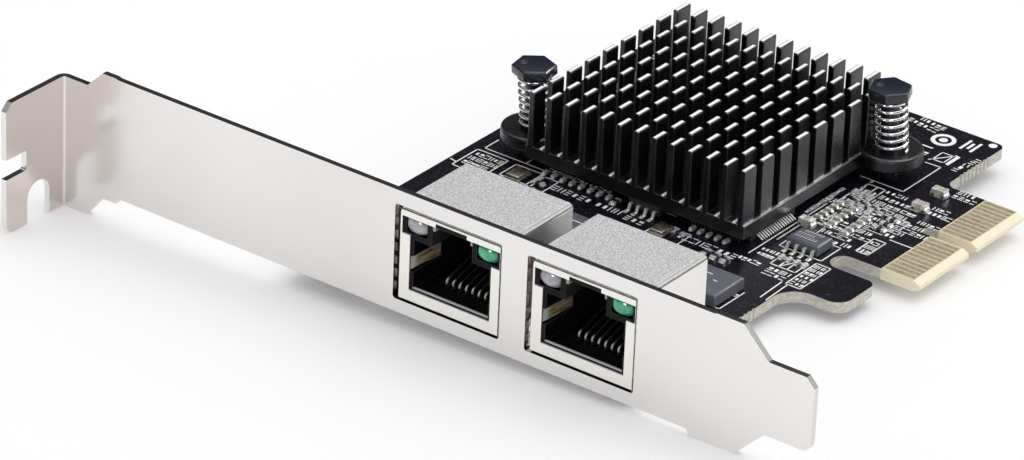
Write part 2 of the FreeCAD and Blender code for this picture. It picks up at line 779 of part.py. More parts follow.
def pushPin(x, y, start):
    """Hex head, shank through ear and board, and a split barb below the board."""
    head = hexagon(x, y, pinHeadFlats, headBottom, pinTop, start)
    head = head.makeChamfer(pinHeadChamfer, edgesAt(head, pinTop))
    under = -boardThick
    shank = rod(x, y, under, headBottom, pinR)
    shoulder = under - barbCollar
    tip = under - barbRise
    barb = Part.makeCone(barbTipR, barbR, shoulder - tip, Vector(x, y, tip))
    collar = rod(x, y, shoulder, under, barbR)
    split = block(x - barbSplit / 2, x + barbSplit / 2, y - barbR, y + barbR, tip, shoulder)
    return head.fuse(shank).fuse(barb.fuse(collar).cut(split)).removeSplitter()


def spring(x, y):
    """Compression coil of faceted wire between the ear and the head of the pin."""
    r = springWire / 2
    start = sinkFloor + r + springGap
    rise = headBottom - r - springGap - start
    steps = round(springTurns * springFacets)
    sections = []
    for i in range(steps + 1):
        turn = 2 * math.pi * i / springFacets
        z = start + rise * i / steps
        ring = []
        for k in range(wireFacets + 1):
            a = 2 * math.pi * k / wireFacets
            out = springR + r * math.cos(a)
            ring.append(Vector(x + out * math.cos(turn), y + out * math.sin(turn), z + r * math.sin(a)))
        sections.append(Part.makePolygon(ring))
    return Part.makeLoft(sections, True, True)


# ---- chips
def squareChip(x, y, size, low, high, bevel):
    return chipBody(x, y, size, size, low, high, bevel)


def leadStrip(points, side, width, plane):
    """A flat lead with the given side outline, centred on the chip's edge at the datum."""
    return prism(sharp([(side * u, v) for u, v in points]), plane, -width / 2, width / 2)


def gullLead(side, reach, rise, width, plane):
    """Gull-wing lead that leaves the chip at rise, steps down and rests flat on the board."""
    t = leadThick
    knee = reach * leadKnee
    ankle = reach * leadAnkle
    points = [(0, rise), (knee, rise), (ankle, t), (reach, t), (reach, 0), (ankle - t, 0),
              (knee - t, rise - t), (0, rise - t)]
    return leadStrip(points, side, width, plane)


def fineLead(side, reach, rise, width, plane):
    """Straight sloping lead of a fine-pitch chip."""
    t = leadThick
    return leadStrip([(0, rise), (reach, t), (reach, 0), (0, rise - t)], side, width, plane)


def chipBody(x, y, sizeX, sizeY, low, high, bevel):
    body = block(x - sizeX / 2, x + sizeX / 2, y - sizeY / 2, y + sizeY / 2, low, high)
    return body.makeChamfer(bevel, edgesAt(body, high))


def bridgeLeadSet():
    """Four rows of fine leads around the bridge chip."""
    leads = []
    edge = bridgeSize / 2
    for i in range(bridgeLeads):
        offset = (i - (bridgeLeads - 1) / 2) * bridgeLeadPitch
        for side in (-1, 1):
            lead = fineLead(side, bridgeLeadReach, bridgeLeadRise, bridgeLeadWidth, "XZ")
            lead.translate(Vector(bridgeX + side * edge, bridgeY + offset, 0))
            leads.append(lead)
            lead = fineLead(side, bridgeLeadReach, bridgeLeadRise, bridgeLeadWidth, "YZ")
            lead.translate(Vector(bridgeX + offset, bridgeY + side * edge, 0))
            leads.append(lead)
    return gather(leads)


def gullLeadSet(x, y):
    leads = []
    for i in range(gullCount):
        offset = (i - (gullCount - 1) / 2) * gullPitch
        for side in (-1, 1):
            lead = gullLead(side, gullReach, gullRise, gullWidth, "YZ")
            lead.translate(Vector(x + offset, y + side * eightLeadWidth / 2, 0))
            leads.append(lead)
    return gather(leads)


def thermalPad(x, y, size, low):
    half = size / 2 - padMargin
    return block(x - half, x + half, y - half, y + half, low, sinkBottom)


def crystalCan(x, y):
    """Ceramic base with a slightly smaller metal lid."""
    base = block(x - crystalWidth / 2, x + crystalWidth / 2, y - crystalLength / 2, y + crystalLength / 2,
                 0, crystalBase)
    across, along = crystalWidth - crystalLip * 2, crystalLength - crystalLip * 2
    return base.fuse(chipBody(x, y, across, along, crystalBase, crystalTop, crystalBevel))


def chips(rows, size):
    """Rows of equal two-terminal chip parts, standing on the board."""
    solids = []
    for first, last, pitch, alongX in rows:
        dx, dy = (size[0], size[1]) if alongX else (size[1], size[0])
        for place in row(first, last, pitch):
            x, y = place.x, place.y
            solids.append(block(x - dx / 2, x + dx / 2, y - dy / 2, y + dy / 2, 0, size[2]))
    return gather(solids)


def buildCard():
    card = {
        "bracket": bracket(),
        "board_screws": boardScrews(),
        "circuit_board": circuitBoard(),
        "edge_contacts": edgeContacts(),
        "heat_sink": heatSink(),
        "magnetic_leads": magneticLeads(),
        "bridge_chip": squareChip(bridgeX, bridgeY, bridgeSize, bridgeStand, bridgeTop, bridgeBevel),
        "bridge_chip_leads": bridgeLeadSet(),
        "small_capacitors": chips(smallCaps, capSize),
        "bulk_capacitors": chips(bulkCaps, bulkSize),
        "resistors": chips(resistors, resSize),
        "power_inductors": chips(coils, coilSize),
        "bridge_pad": thermalPad(bridgeX, bridgeY, bridgeSize, bridgeTop),
    }
    for i, x in enumerate(ports, 1):
        card[f"jack_shield_{i}"] = jackShield(x)
        card[f"jack_springs_{i}"] = gather(jackFingers(x))
        card[f"jack_housing_{i}"] = jackHousing(x)
        card[f"jack_contacts_{i}"] = jackContacts(x)
        card[f"jack_legs_{i}"] = jackLegsSolid(x)
        card[f"clear_lamp_{i}"] = lamp(x, -1)
        card[f"green_lamp_{i}"] = lamp(x, 1)
        card[f"magnetics_{i}"] = magnetic(x)
    for i, (x, y) in enumerate(pins, 1):
        card[f"push_pin_{i}"] = pushPin(x, y, pinTurns[i - 1])
        card[f"pin_spring_{i}"] = spring(x, y)
    for i, (x, y) in enumerate((controller1, controller2), 1):
        card[f"controller_chip_{i}"] = squareChip(x, y, controllerSize, 0, controllerTop, controllerBevel)
        card[f"controller_pad_{i}"] = thermalPad(x, y, controllerSize, controllerTop)
    for name, (x, y) in (("memory", eightLead1), ("regulator", eightLead2)):
        card[f"{name}_chip"] = chipBody(x, y, eightLeadLength, eightLeadWidth, eightLeadStand,
                                        eightLeadTop, eightLeadBevel)
        card[f"{name}_chip_leads"] = gullLeadSet(x, y)
    for i, (x, y) in enumerate(crystals, 1):
        card[f"crystal_{i}"] = crystalCan(x, y)
    return card


os.makedirs("parts", exist_ok=True)
for node, shape in buildCard().items():
    shape.translate(shift)
    shape.exportStep(f"parts/{node}.step")
    print(node, len(shape.Solids), round(shape.Volume, 2), shape.isValid())
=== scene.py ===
import bpy, bmesh, math, random
from mathutils import Matrix, Vector


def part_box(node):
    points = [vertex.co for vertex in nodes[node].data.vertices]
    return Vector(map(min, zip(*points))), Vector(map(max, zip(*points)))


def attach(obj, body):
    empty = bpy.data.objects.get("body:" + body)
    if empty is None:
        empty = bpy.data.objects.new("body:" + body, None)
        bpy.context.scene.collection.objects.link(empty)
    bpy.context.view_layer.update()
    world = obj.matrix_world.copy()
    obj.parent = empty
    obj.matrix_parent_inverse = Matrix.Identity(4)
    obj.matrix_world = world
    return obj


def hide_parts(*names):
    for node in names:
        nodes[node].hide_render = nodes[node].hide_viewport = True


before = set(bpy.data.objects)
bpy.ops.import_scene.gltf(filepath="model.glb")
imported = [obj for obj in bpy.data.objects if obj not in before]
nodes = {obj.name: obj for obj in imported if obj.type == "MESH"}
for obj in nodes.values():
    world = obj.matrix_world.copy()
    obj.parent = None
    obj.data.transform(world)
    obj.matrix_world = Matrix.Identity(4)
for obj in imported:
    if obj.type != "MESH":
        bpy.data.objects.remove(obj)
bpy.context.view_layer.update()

mm = 0.001
weld = 0.002 * mm


def boxOf(node):
    return [Vector(c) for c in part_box(node)]


def inMetres(sizes):
    return {key: value * mm for key, value in sizes.items() if isinstance(value, (int, float))}


boardLow, boardHigh = boxOf("circuit_board")
boardTop = boardHigh.z

# ---- the view and the studio
view = {
    "aim": (-9.03, -5.99, 0.79),      # mm
    "distance": 775.65,               # mm
    "azimuth": -35.776, "elevation": 28.293, "roll": 2.456,
    "lens": 207.02,
}
studio = {
    "floorTilt": (0.031978, -0.013747),   # the card leans on its flange, its panel and one pin
    "floorHeight": 1.2084,                # mm, under the middle of the card
    "floorSize": 4.0, "floorColour": (0.90, 0.90, 0.905), "floorGlow": 0.20,
    # the sky in reflections: strength at the horizon, what is added overhead, and how late it rises
    "sky": (0.025, 1.60, 4.0),
    "soft": 0.86,                         # the sky's strength on everything matt
    "lampAim": (0, 0, 0.01),
    "lamps": (
        # name, place, width, height, watts, seen only in reflections
        ("stripLamp", (0.57, 0.86, 0.62), 0.70, 0.34, 10.5, True),
        ("glintLamp", (0.57, -0.72, 0.61), 0.34, 0.26, 1.6, True),
        ("lensLamp", (-0.06, -1.02, 0.16), 0.22, 0.20, 2.4, True),
        ("topLamp", (0.20, 0.30, 1.15), 1.20, 1.10, 5.2, False),
    ),
}


def addObject(name, data):
    thing = bpy.data.objects.new(name, data)
    bpy.context.collection.objects.link(thing)
    return thing


def cameraRig():
    az, el, roll = (math.radians(view[k]) for k in ("azimuth", "elevation", "roll"))
    back = Vector((-math.sin(az) * math.cos(el), -math.cos(az) * math.cos(el), math.sin(el)))
    side = Vector((0, 0, 1)).cross(back).normalized()
    rise = back.cross(side)
    right = side * math.cos(roll) + rise * math.sin(roll)
    up = rise * math.cos(roll) - side * math.sin(roll)
    place = Vector(view["aim"]) * mm + back * view["distance"] * mm
    data = bpy.data.cameras.new("viewCamera")
    data.lens, data.sensor_width, data.clip_start, data.clip_end = view["lens"], 36, 0.01, 20
    rig = addObject("viewCamera", data)
    rig.matrix_world = Matrix.Translation(place) @ Matrix((right, up, back)).transposed().to_4x4()
    bpy.context.scene.camera = rig


def addLamp(name, place, width, height, watts, shineOnly):
    data = bpy.data.lights.new(name, "AREA")
    data.shape, data.size, data.size_y, data.energy = "RECTANGLE", width, height, watts
    lamp = addObject(name, data)
    lamp.location = place
    lamp.rotation_euler = (Vector(studio["lampAim"]) - Vector(place)).to_track_quat("-Z", "Y").to_euler()
    lamp.visible_diffuse = not shineOnly


# ---- small helpers for node trees
def setInputs(node, **values):
    for label, value in values.items():
        node.inputs[label.replace("_", " ")].default_value = value
    return node


def addNode(tree, kind, **values):
    return setInputs(tree.nodes.new(kind), **values)


# one number is a grey
def opaque(colour):
    return ((colour,) * 3 if isinstance(colour, (int, float)) else tuple(colour)) + (1,)


def ramp(tree, source, stops):
    node = tree.nodes.new("ShaderNodeValToRGB")
    bar = node.color_ramp.elements
    while len(bar) < len(stops):
        bar.new(0.5)
    for element, (place, colour) in zip(bar, stops):
        element.position = place
        element.color = opaque(colour)
    tree.links.new(source, node.inputs["Fac"])
    return node.outputs["Color"]


# links a socket, or sets a number or a colour
def feed(tree, value, socket):
    if isinstance(value, bpy.types.NodeSocket):
        tree.links.new(value, socket)
    else:
        socket.default_value = opaque(value) if socket.type == "RGBA" else value


def mixColour(tree, mask, first, second, kind="MIX"):
    node = tree.nodes.new("ShaderNodeMix")
    node.data_type, node.blend_type = "RGBA", kind
    for value, k in ((mask, 0), (first, 6), (second, 7)):
        feed(tree, value, node.inputs[k])
    return node.outputs[2]


def maths(tree, operation, first, second=0.0, clamp=False):
    node = tree.nodes.new("ShaderNodeMath")
    node.operation, node.use_clamp = operation, clamp
    feed(tree, first, node.inputs[0])
    feed(tree, second, node.inputs[1])
    return node.outputs[0]


def spread(tree, source, start, end):
    node = tree.nodes.new("ShaderNodeMapRange")
    node.inputs["From Min"].default_value, node.inputs["From Max"].default_value = start, end
    tree.links.new(source, node.inputs["Value"])
    return node.outputs[0]


def coordinates(tree, kind="Object"):
    return tree.nodes.new("ShaderNodeTexCoord").outputs[kind]


def splitAxes(tree, source):
    node = tree.nodes.new("ShaderNodeSeparateXYZ")
    tree.links.new(source, node.inputs[0])
    return node.outputs


def connect(tree, shader, **sources):
    for label, source in sources.items():
        tree.links.new(source, shader.inputs[label.replace("_", " ")])


def newGroup(name, inputs, *outputs):
    tree = bpy.data.node_groups.new(name, "ShaderNodeTree")
    for label, value in inputs.items():
        kind = "NodeSocketVector" if isinstance(value, tuple) else "NodeSocketFloat"
        tree.interface.new_socket(name=label, in_out="INPUT", socket_type=kind).default_value = value
    for label in outputs:
        kind = "NodeSocketVector" if label == "Normal" else "NodeSocketFloat"
        tree.interface.new_socket(name=label, in_out="OUTPUT", socket_type=kind)
    return tree, tree.nodes.new("NodeGroupInput").outputs, tree.nodes.new("NodeGroupOutput")


# fine grain: a soft mask and a bumped normal from one noise
def makeGrainGroup():
    tree, given, result = newGroup("fineGrain", {"Scale": 3000.0, "Stretch": (1, 1, 1), "Depth": 0.1},
                                   "Mask", "Normal")
    turn = tree.nodes.new("ShaderNodeMapping")
    noise = addNode(tree, "ShaderNodeTexNoise", Detail=3.0, Roughness=0.6)
    bump = addNode(tree, "ShaderNodeBump", Distance=0.00004)
    connect(tree, turn, Vector=coordinates(tree), Scale=given["Stretch"])
    connect(tree, noise, Vector=turn.outputs[0], Scale=given["Scale"])
    connect(tree, bump, Height=noise.outputs[0], Strength=given["Depth"])
    connect(tree, result, Mask=noise.outputs[0], Normal=bump.outputs[0])
    return tree


# slow drift of tone over a whole surface, as handling and plating leave it
def makeDriftGroup():
    tree, given, result = newGroup("toneDrift", {"Scale": 30.0}, "Mask")
    noise = addNode(tree, "ShaderNodeTexNoise", Detail=2.0, Roughness=0.5)
    connect(tree, noise, Vector=coordinates(tree), Scale=given["Scale"])
    connect(tree, result, Mask=spread(tree, noise.outputs[0], 0.32, 0.68))
    return tree


# scattered bright or dull flecks
def makeFleckGroup():
    tree, given, result = newGroup("flecks", {"Scale": 4000.0, "Amount": 0.2}, "Mask")
    cells = tree.nodes.new("ShaderNodeTexVoronoi")
    pick = tree.nodes.new("ShaderNodeSeparateColor")
    connect(tree, cells, Vector=coordinates(tree), Scale=given["Scale"])
    connect(tree, pick, Color=cells.outputs["Color"])
    connect(tree, result, Mask=maths(tree, "LESS_THAN", pick.outputs[0], given["Amount"]))
    return tree


# edges painted lighter, partly as wear and partly as a painted highlight: where a rounded normal leaves the
# flat one
def makeEdgeGroup():
    tree, given, result = newGroup("edgeWearAndSheen", {"Radius": 0.0002, "Gain": 6.0}, "Mask")
    soft = tree.nodes.new("ShaderNodeBevel")
    flat = tree.nodes.new("ShaderNodeNewGeometry")
    dot = tree.nodes.new("ShaderNodeVectorMath")
    dot.operation = "DOT_PRODUCT"
    connect(tree, soft, Radius=given["Radius"])
    tree.links.new(soft.outputs[0], dot.inputs[0])
    tree.links.new(flat.outputs["True Normal"], dot.inputs[1])
    away = maths(tree, "SUBTRACT", 1.0, dot.outputs["Value"])
    connect(tree, result, Mask=maths(tree, "MULTIPLY", away, given["Gain"], clamp=True))
    return tree


groups = {"grain": makeGrainGroup(), "drift": makeDriftGroup(), "flecks": makeFleckGroup(),
          "edge": makeEdgeGroup()}


def useGroup(tree, key, **values):
    node = tree.nodes.new("ShaderNodeGroup")
    node.node_tree = groups[key]
    return setInputs(node, **values)


def newMaterial(name, metallic=0.0, **fixed):
    material = bpy.data.materials.new(name)
    material.use_nodes = True
    tree = material.node_tree
    return material, tree, setInputs(tree.nodes["Principled BSDF"], Metallic=metallic, **fixed)


# a finish with a drifting base colour, varied roughness and a grained surface
def plain(name, low, high, rough, grainScale, depth, metal=0.0, drift=60, edge=None, **fixed):
    material, tree, shader = newMaterial(name, metal, **fixed)
    slow = useGroup(tree, "drift", Scale=drift)
    grain = useGroup(tree, "grain", Scale=grainScale, Depth=depth)
    colour = mixColour(tree, slow.outputs[0], low, high)
    # the edge tone: lighter edges, partly wear and partly a painted highlight
    if edge:
        rim = useGroup(tree, "edge", Radius=edge[0] * mm, Gain=edge[1])
        colour = mixColour(tree, rim.outputs[0], colour, edge[2])
    connect(tree, shader, Base_Color=colour, Normal=grain.outputs["Normal"],
            Roughness=ramp(tree, grain.outputs["Mask"], ((0.3, rough[0]), (0.7, rough[1]))))
    return material


# one axis of the plain surface normal, 1 where it faces that way
def facing(tree, axis, sign, start=0.35, end=0.65):
    axes = splitAxes(tree, tree.nodes.new("ShaderNodeNewGeometry").outputs["True Normal"])
    return spread(tree, axes[axis], start * sign, end * sign)


# tin-plated shell: a speckled satin top, a front painted lighter as painted light, and bends turned up and to
# +X painted dark as painted shade
def makeTinShell():
    material, tree, shader = newMaterial("tinShell")
    grain = useGroup(tree, "grain", Scale=4300.0, Depth=0.6)
    broad = useGroup(tree, "grain", Scale=1900.0, Depth=0.0)
    top = facing(tree, "Z", 1)
    front = facing(tree, "Y", -1)
    sparkle = ramp(tree, grain.outputs["Mask"], ((0.36, 0.50), (0.64, 0.93)))
    patch = ramp(tree, broad.outputs["Mask"], ((0.3, 0.86), (0.7, 1.0)))
    speckled = mixColour(tree, 1.0, sparkle, patch, "MULTIPLY")
    colour = mixColour(tree, top, (0.80, 0.785, 0.765), speckled)
    # front faces painted lighter: painted light
    colour = mixColour(tree, front, colour, (0.88, 0.865, 0.82))
    # faces turned up and to +X painted dark: painted shade that damps their highlight
    bend = maths(tree, "MULTIPLY", facing(tree, "X", 1, 0.25, 0.45), facing(tree, "Z", 1, 0.15, 0.35))
    colour = mixColour(tree, bend, colour, (0.24, 0.235, 0.23))
    connect(tree, shader, Base_Color=colour, Roughness=mixColour(tree, top, 0.27, 0.46),
            Metallic=maths(tree, "SUBTRACT", 1.0, maths(tree, "MULTIPLY", top, 0.55)),
            Normal=grain.outputs["Normal"])
    return material


# the tongue is bare of mask from a little beside and behind its contacts outwards
bareTongue = {"beside": 0.25, "behind": 1.2}


def makeBoardMaterial():
    material, tree, shader = newMaterial("solderMask", Coat_Roughness=0.2, IOR=1.5, Specular_IOR_Level=0.20)
    flecks = useGroup(tree, "flecks", Scale=7000.0, Amount=0.022)
    grain = useGroup(tree, "grain", Scale=2400.0, Depth=0.10)
    drift = useGroup(tree, "drift", Scale=220.0)
    mask = mixColour(tree, drift.outputs[0], (0.0014, 0.0015, 0.0045), (0.0028, 0.0030, 0.0085))
    mask = mixColour(tree, flecks.outputs[0], mask, (0.09, 0.09, 0.12))
    fibre = useGroup(tree, "grain", Scale=1500.0, Stretch=(1, 1, 1.6), Depth=0.4)
    glass = ramp(tree, fibre.outputs["Mask"], ((0.3, (0.44, 0.42, 0.37)), (0.55, (0.56, 0.545, 0.49)),
                                               (0.75, (0.70, 0.685, 0.64))))
    flat = maths(tree, "ADD", facing(tree, "Z", 1, 0.93, 0.98), facing(tree, "Z", -1, 0.93, 0.98), clamp=True)
    axes, contacts = splitAxes(tree, coordinates(tree)), boxOf("edge_contacts")[0]
    bare = maths(tree, "MULTIPLY",
                 maths(tree, "GREATER_THAN", axes["X"], contacts.x - bareTongue["beside"] * mm),
                 maths(tree, "GREATER_THAN", axes["Y"], contacts.y - bareTongue["behind"] * mm))
    mask = mixColour(tree, bare, mask, (0.66, 0.58, 0.40))
    glass = mixColour(tree, bare, glass, (0.84, 0.78, 0.60))
    shine = maths(tree, "MULTIPLY", flat, maths(tree, "SUBTRACT", 1.0, bare))
    connect(tree, shader, Base_Color=mixColour(tree, flat, glass, mask), Normal=grain.outputs["Normal"],
            Roughness=ramp(tree, shine, ((0, 0.70), (1, 0.40))),
            Coat_Weight=maths(tree, "MULTIPLY", shine, 0.06))
    return material


# plating in a socket: pale, as a painted highlight, for a first stretch behind the front of its node, in mm,
# then streaked and dark with painted shade deeper in
def lightToShadeFinish(name, node, reach, pale, streaks, metallic):
    material, tree, shader = newMaterial(name, metallic, Roughness=0.36)
    front = boxOf(node)[0].y
    deep = spread(tree, splitAxes(tree, coordinates(tree))["Y"], front + reach[0] * mm, front + reach[1] * mm)
    streak = useGroup(tree, "grain", Scale=2600.0, Stretch=(1, 0.12, 1), Depth=0.3)
    connect(tree, shader, Normal=streak.outputs["Normal"],
            Base_Color=mixColour(tree, deep, pale, ramp(tree, streak.outputs["Mask"], streaks)))
    return material


def makeLens(name, colour, glow):
    material, tree, shader = newMaterial(name, IOR=1.49, Transmission_Weight=0.35, Coat_Weight=1.0,
                                         Coat_Roughness=0.06)
    drift = useGroup(tree, "drift", Scale=900.0)
    grain = useGroup(tree, "grain", Scale=2500.0, Depth=0.05)
    connect(tree, shader, Base_Color=mixColour(tree, drift.outputs[0], colour, glow),
            Roughness=ramp(tree, grain.outputs["Mask"], ((0.3, 0.10), (0.7, 0.18))),
            Normal=grain.outputs["Normal"])
    return material


# bright nickel; painted shade darkens the sheared edges that face up and up-right, and a painted reflection
# makes the flange a touch warmer
def makeNickel():
    material = plain("nickelSteel", (0.785, 0.77, 0.76), (0.845, 0.835, 0.825), (0.19, 0.25),
                     2600, 0.04, metal=1.0, drift=26, edge=(0.12, 3, (0.86, 0.86, 0.85)))
    tree = material.node_tree
    base = tree.nodes["Principled BSDF"].inputs["Base Color"]
    colour = base.links[0].from_socket
    # faces turned to +X, the flange, painted warmer: a painted reflection
    colour = mixColour(tree, facing(tree, "X", 1, 0.5, 0.9), colour, (0.735, 0.665, 0.63))
    # faces turned up, the sheared top edges, painted dark: painted shade
    colour = mixColour(tree, facing(tree, "Z", 1, 0.95, 0.99), colour, (0.22, 0.21, 0.20))
    # faces turned up and to +X painted near black: painted shade that damps their highlight
    slope = maths(tree, "MULTIPLY", facing(tree, "X", 1, 0.2, 0.4), facing(tree, "Z", 1, 0.2, 0.4))
    colour = mixColour(tree, slope, colour, (0.035, 0.034, 0.033))
    tree.links.new(colour, base)
    return material


# each row: name, low and high tone, range of roughness, scale and depth of the grain, what else differs
finishes = {
    "nickel": makeNickel(),
    "screw": plain("screwSteel", (0.42, 0.42, 0.43), 0.56, (0.22, 0.42),
        3400, 0.25, metal=1.0, edge=(0.12, 4, 0.85)),
    "board": makeBoardMaterial(),
    "print": plain("printInk", (0.8, 0.8, 0.79), (0.94, 0.94, 0.93), (0.5, 0.7), 4000, 0.3),
    "gold": plain("goldContact", (0.74, 0.64, 0.46), (0.84, 0.75, 0.58), (0.34, 0.46),
        2600, 0.15, metal=1.0, drift=300),
    "fineLead": plain("fineLead", (0.3, 0.3, 0.31), (0.42, 0.42, 0.43), (0.34, 0.5),
        3000, 0.3, metal=1.0, drift=500),
    "finger": lightToShadeFinish("springFinger", "jack_springs_1", (0.7, 1.5), (0.9, 0.88, 0.83),
        ((0.35, (0.16, 0.1, 0.05)), (0.65, (0.72, 0.56, 0.36))), 0.45),
    "lip": plain("mouldedLip", (0.46, 0.46, 0.48), (0.58, 0.58, 0.6), (0.35, 0.5), 3000, 0.3),
    "tip": plain("cutTipSheen", (0.93, 0.93, 0.935), 0.99, (0.28, 0.4), 3600, 0.25, metal=0.08, drift=500),
    "ledgeLight": plain("ledgeHighlight", (0.5, 0.5, 0.51), (0.72, 0.72, 0.73), (0.34, 0.5),
        3600, 0.3, metal=1.0, drift=500),
    "anodised": plain("blackAnodised", (0.062, 0.062, 0.067), (0.092, 0.092, 0.099), (0.26, 0.38),
        4200, 0.35, metal=1.0, drift=90, edge=(0.1, 5, (0.42, 0.42, 0.43))),
    "tin": makeTinShell(),
    "lead": plain("tinnedLead", 0.74, (0.9, 0.9, 0.89), (0.18, 0.36), 3000, 0.4, metal=0.6, drift=500),
    "chip": plain("chipMoulding", (0.02, 0.02, 0.024), (0.036, 0.036, 0.044), (0.42, 0.62),
        3600, 0.5, edge=(0.12, 3, (0.1, 0.1, 0.115))),
    "memory": plain("memoryMoulding", (0.06, 0.062, 0.085), (0.095, 0.098, 0.13), (0.34, 0.52),
        3600, 0.5, edge=(0.12, 3, (0.3, 0.31, 0.36))),
    "ceramic": plain("tanCeramic", (0.42, 0.385, 0.32), (0.62, 0.58, 0.5), (0.38, 0.55),
        3000, 0.3, drift=700),
    "resistor": plain("resistorBlack", (0.015, 0.015, 0.018), (0.03, 0.03, 0.034), (0.3, 0.5), 3000, 0.3),
    "ferrite": plain("ferriteGrey", (0.045, 0.045, 0.047), (0.085, 0.083, 0.08), (0.55, 0.75), 2600, 0.8),
    "pad": plain("siliconePad", (0.3, 0.33, 0.36), (0.38, 0.41, 0.44), (0.75, 0.9), 2000, 0.6),
    "housing": plain("blackMoulding", (0.0025, 0.0025, 0.003), (0.005, 0.005, 0.006), (0.42, 0.55),
        3000, 0.3, edge=(0.12, 3, (0.13, 0.13, 0.14)), Specular_IOR_Level=0.12),
    "frame": plain("greyMoulding", (0.27, 0.27, 0.29), (0.36, 0.36, 0.38), (0.35, 0.5), 3000, 0.3),
    "wire": lightToShadeFinish("contactWire", "jack_contacts_1", (1.25, 1.75), (1.0, 0.98, 0.92),
        ((0.35, (0.02, 0.018, 0.014)), (0.65, (0.07, 0.06, 0.045))), 0.3),
    "clearLens": makeLens("clearLens", (0.4, 0.4, 0.44), (0.62, 0.62, 0.66)),
    "greenLens": makeLens("greenLens", (0.03, 0.36, 0.19), (0.08, 0.62, 0.35)),
    "dullTin": plain("dullTin", (0.16, 0.155, 0.15), (0.42, 0.41, 0.4), (0.3, 0.48),
        2400, 0.4, metal=1.0, drift=1400),
    "slate": plain("slateMoulding", (0.055, 0.058, 0.075), (0.09, 0.094, 0.118), (0.4, 0.58),
        2800, 0.5, edge=(0.16, 3, (0.32, 0.33, 0.38))),
    "pin": plain("pinPlastic", (0.008, 0.009, 0.02), (0.017, 0.018, 0.034), (0.22, 0.34),
        2800, 0.25, edge=(0.12, 2, (0.12, 0.125, 0.16)), Coat_Weight=0.2),
    "spring": plain("springSteel", (0.74, 0.74, 0.75), 0.92, (0.12, 0.24),
        3000, 0.15, metal=1.0, drift=400),
    "can": plain("crystalCan", (0.46, 0.42, 0.35), (0.6, 0.55, 0.47), (0.24, 0.38),
        2600, 0.2, metal=1.0, drift=300, edge=(0.12, 3, (0.85, 0.82, 0.75))),
}
print("finishes:", len(finishes))


# ---- piece making
def finishPiece(name, bm, materials, replaced=(), smooth=None, outward=False):
    if outward:
        bmesh.ops.recalc_face_normals(bm, faces=bm.faces)
    mesh = bpy.data.meshes.new(name)
    bm.to_mesh(mesh)
    bm.free()
    for key in materials:
        mesh.materials.append(finishes[key])
    if smooth:
        mesh.shade_smooth()
        mesh.set_sharp_from_angle(angle=math.radians(smooth))
    piece = addObject(name, mesh)
    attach(piece, "root")
    if replaced:
        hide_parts(*replaced)


def weldedCopy(node):
    bm = bmesh.new()
    bm.from_mesh(nodes[node].data)
    bmesh.ops.remove_doubles(bm, verts=bm.verts, dist=weld)
    return bm


def mergedCopy(node):
    bm = weldedCopy(node)
    bmesh.ops.dissolve_limit(bm, angle_limit=math.radians(1), verts=bm.verts, edges=bm.edges,
                             delimit={"NORMAL"})
    return bm


def roundEdges(bm, edges, width, segments=2):
    return bmesh.ops.bevel(bm, geom=list(edges), offset=width * mm, offset_type="OFFSET", segments=segments,
                           profile=0.5, affect="EDGES", clamp_overlap=True, material=-1)


def roundSharp(bm, width, angle=35):
    roundEdges(bm, [e for e in bm.edges
                    if len(e.link_faces) == 2 and e.calc_face_angle(0) > math.radians(angle)], width)


def softened(node, width, finishKey, smooth=21):
    bm = mergedCopy(node)
    roundSharp(bm, width)
    finishPiece(node + ".soft", bm, (finishKey,), (node,), smooth)


# boxes of the separate solids of a node
def solidBoxes(node):
    bm = weldedCopy(node)
    bm.verts.ensure_lookup_table()
    seen, boxes = set(), []
    for start in bm.verts:
        if start in seen:
            continue
        todo, members = [start], []
        seen.add(start)
        while todo:
            v = todo.pop()
            members.append(v.co.copy())
            for e in v.link_edges:
                w = e.other_vert(v)
                if w not in seen:
                    seen.add(w)
                    todo.append(w)
        boxes.append([Vector([end(c[k] for c in members) for k in range(3)]) for end in (min, max)])
    bm.free()
    return boxes


def addBox(bm, low, high, index=0, bevel=0.0, segments=1):
    low, high = Vector(low), Vector(high)
    place = Matrix.Translation((low + high) / 2) @ Matrix.Diagonal((high - low).to_4d())
    made = bmesh.ops.create_cube(bm, size=1.0, matrix=place)["verts"]
    faces = {f for v in made for f in v.link_faces}
    if bevel:
        grown = roundEdges(bm, {e for v in made for e in v.link_edges}, bevel, segments)
        faces = {f for v in grown["verts"] for f in v.link_faces}
    for f in faces:
        f.material_index = index
    return faces


inkThick = 0.012


# a flat printed stroke between two places on the board, in mm from its left front corner
def stroke(bm, start, end, width, level=boardTop):
    a, b = (Vector((boardLow.x + x * mm, boardLow.y + y * mm, level + inkThick * mm / 2))
            for x, y in (start, end))
    run = b - a
    turn = Matrix.Rotation(math.atan2(run.y, run.x), 4, "Z")
    size = Matrix.Diagonal((run.length + width * mm, width * mm, inkThick * mm, 1))
    bmesh.ops.create_cube(bm, size=1.0, matrix=Matrix.Translation((a + b) / 2) @ turn @ size)


# a closed profile of (radius, height) in mm, turned about an upright axis
def turned(bm, profile, centre, steps=40, index=0):
    ring = [bm.verts.new(centre + Vector((r, 0, z)) * mm) for r, z in profile]
    edges = [bm.edges.new((ring[i - 1], ring[i])) for i in range(len(ring))]
    before = set(bm.faces)
    bmesh.ops.spin(bm, geom=ring + edges, cent=centre, axis=(0, 0, 1), angle=math.tau, steps=steps,
                   use_merge=True, use_duplicate=False)
    for f in set(bm.faces) - before:
        f.material_index = index


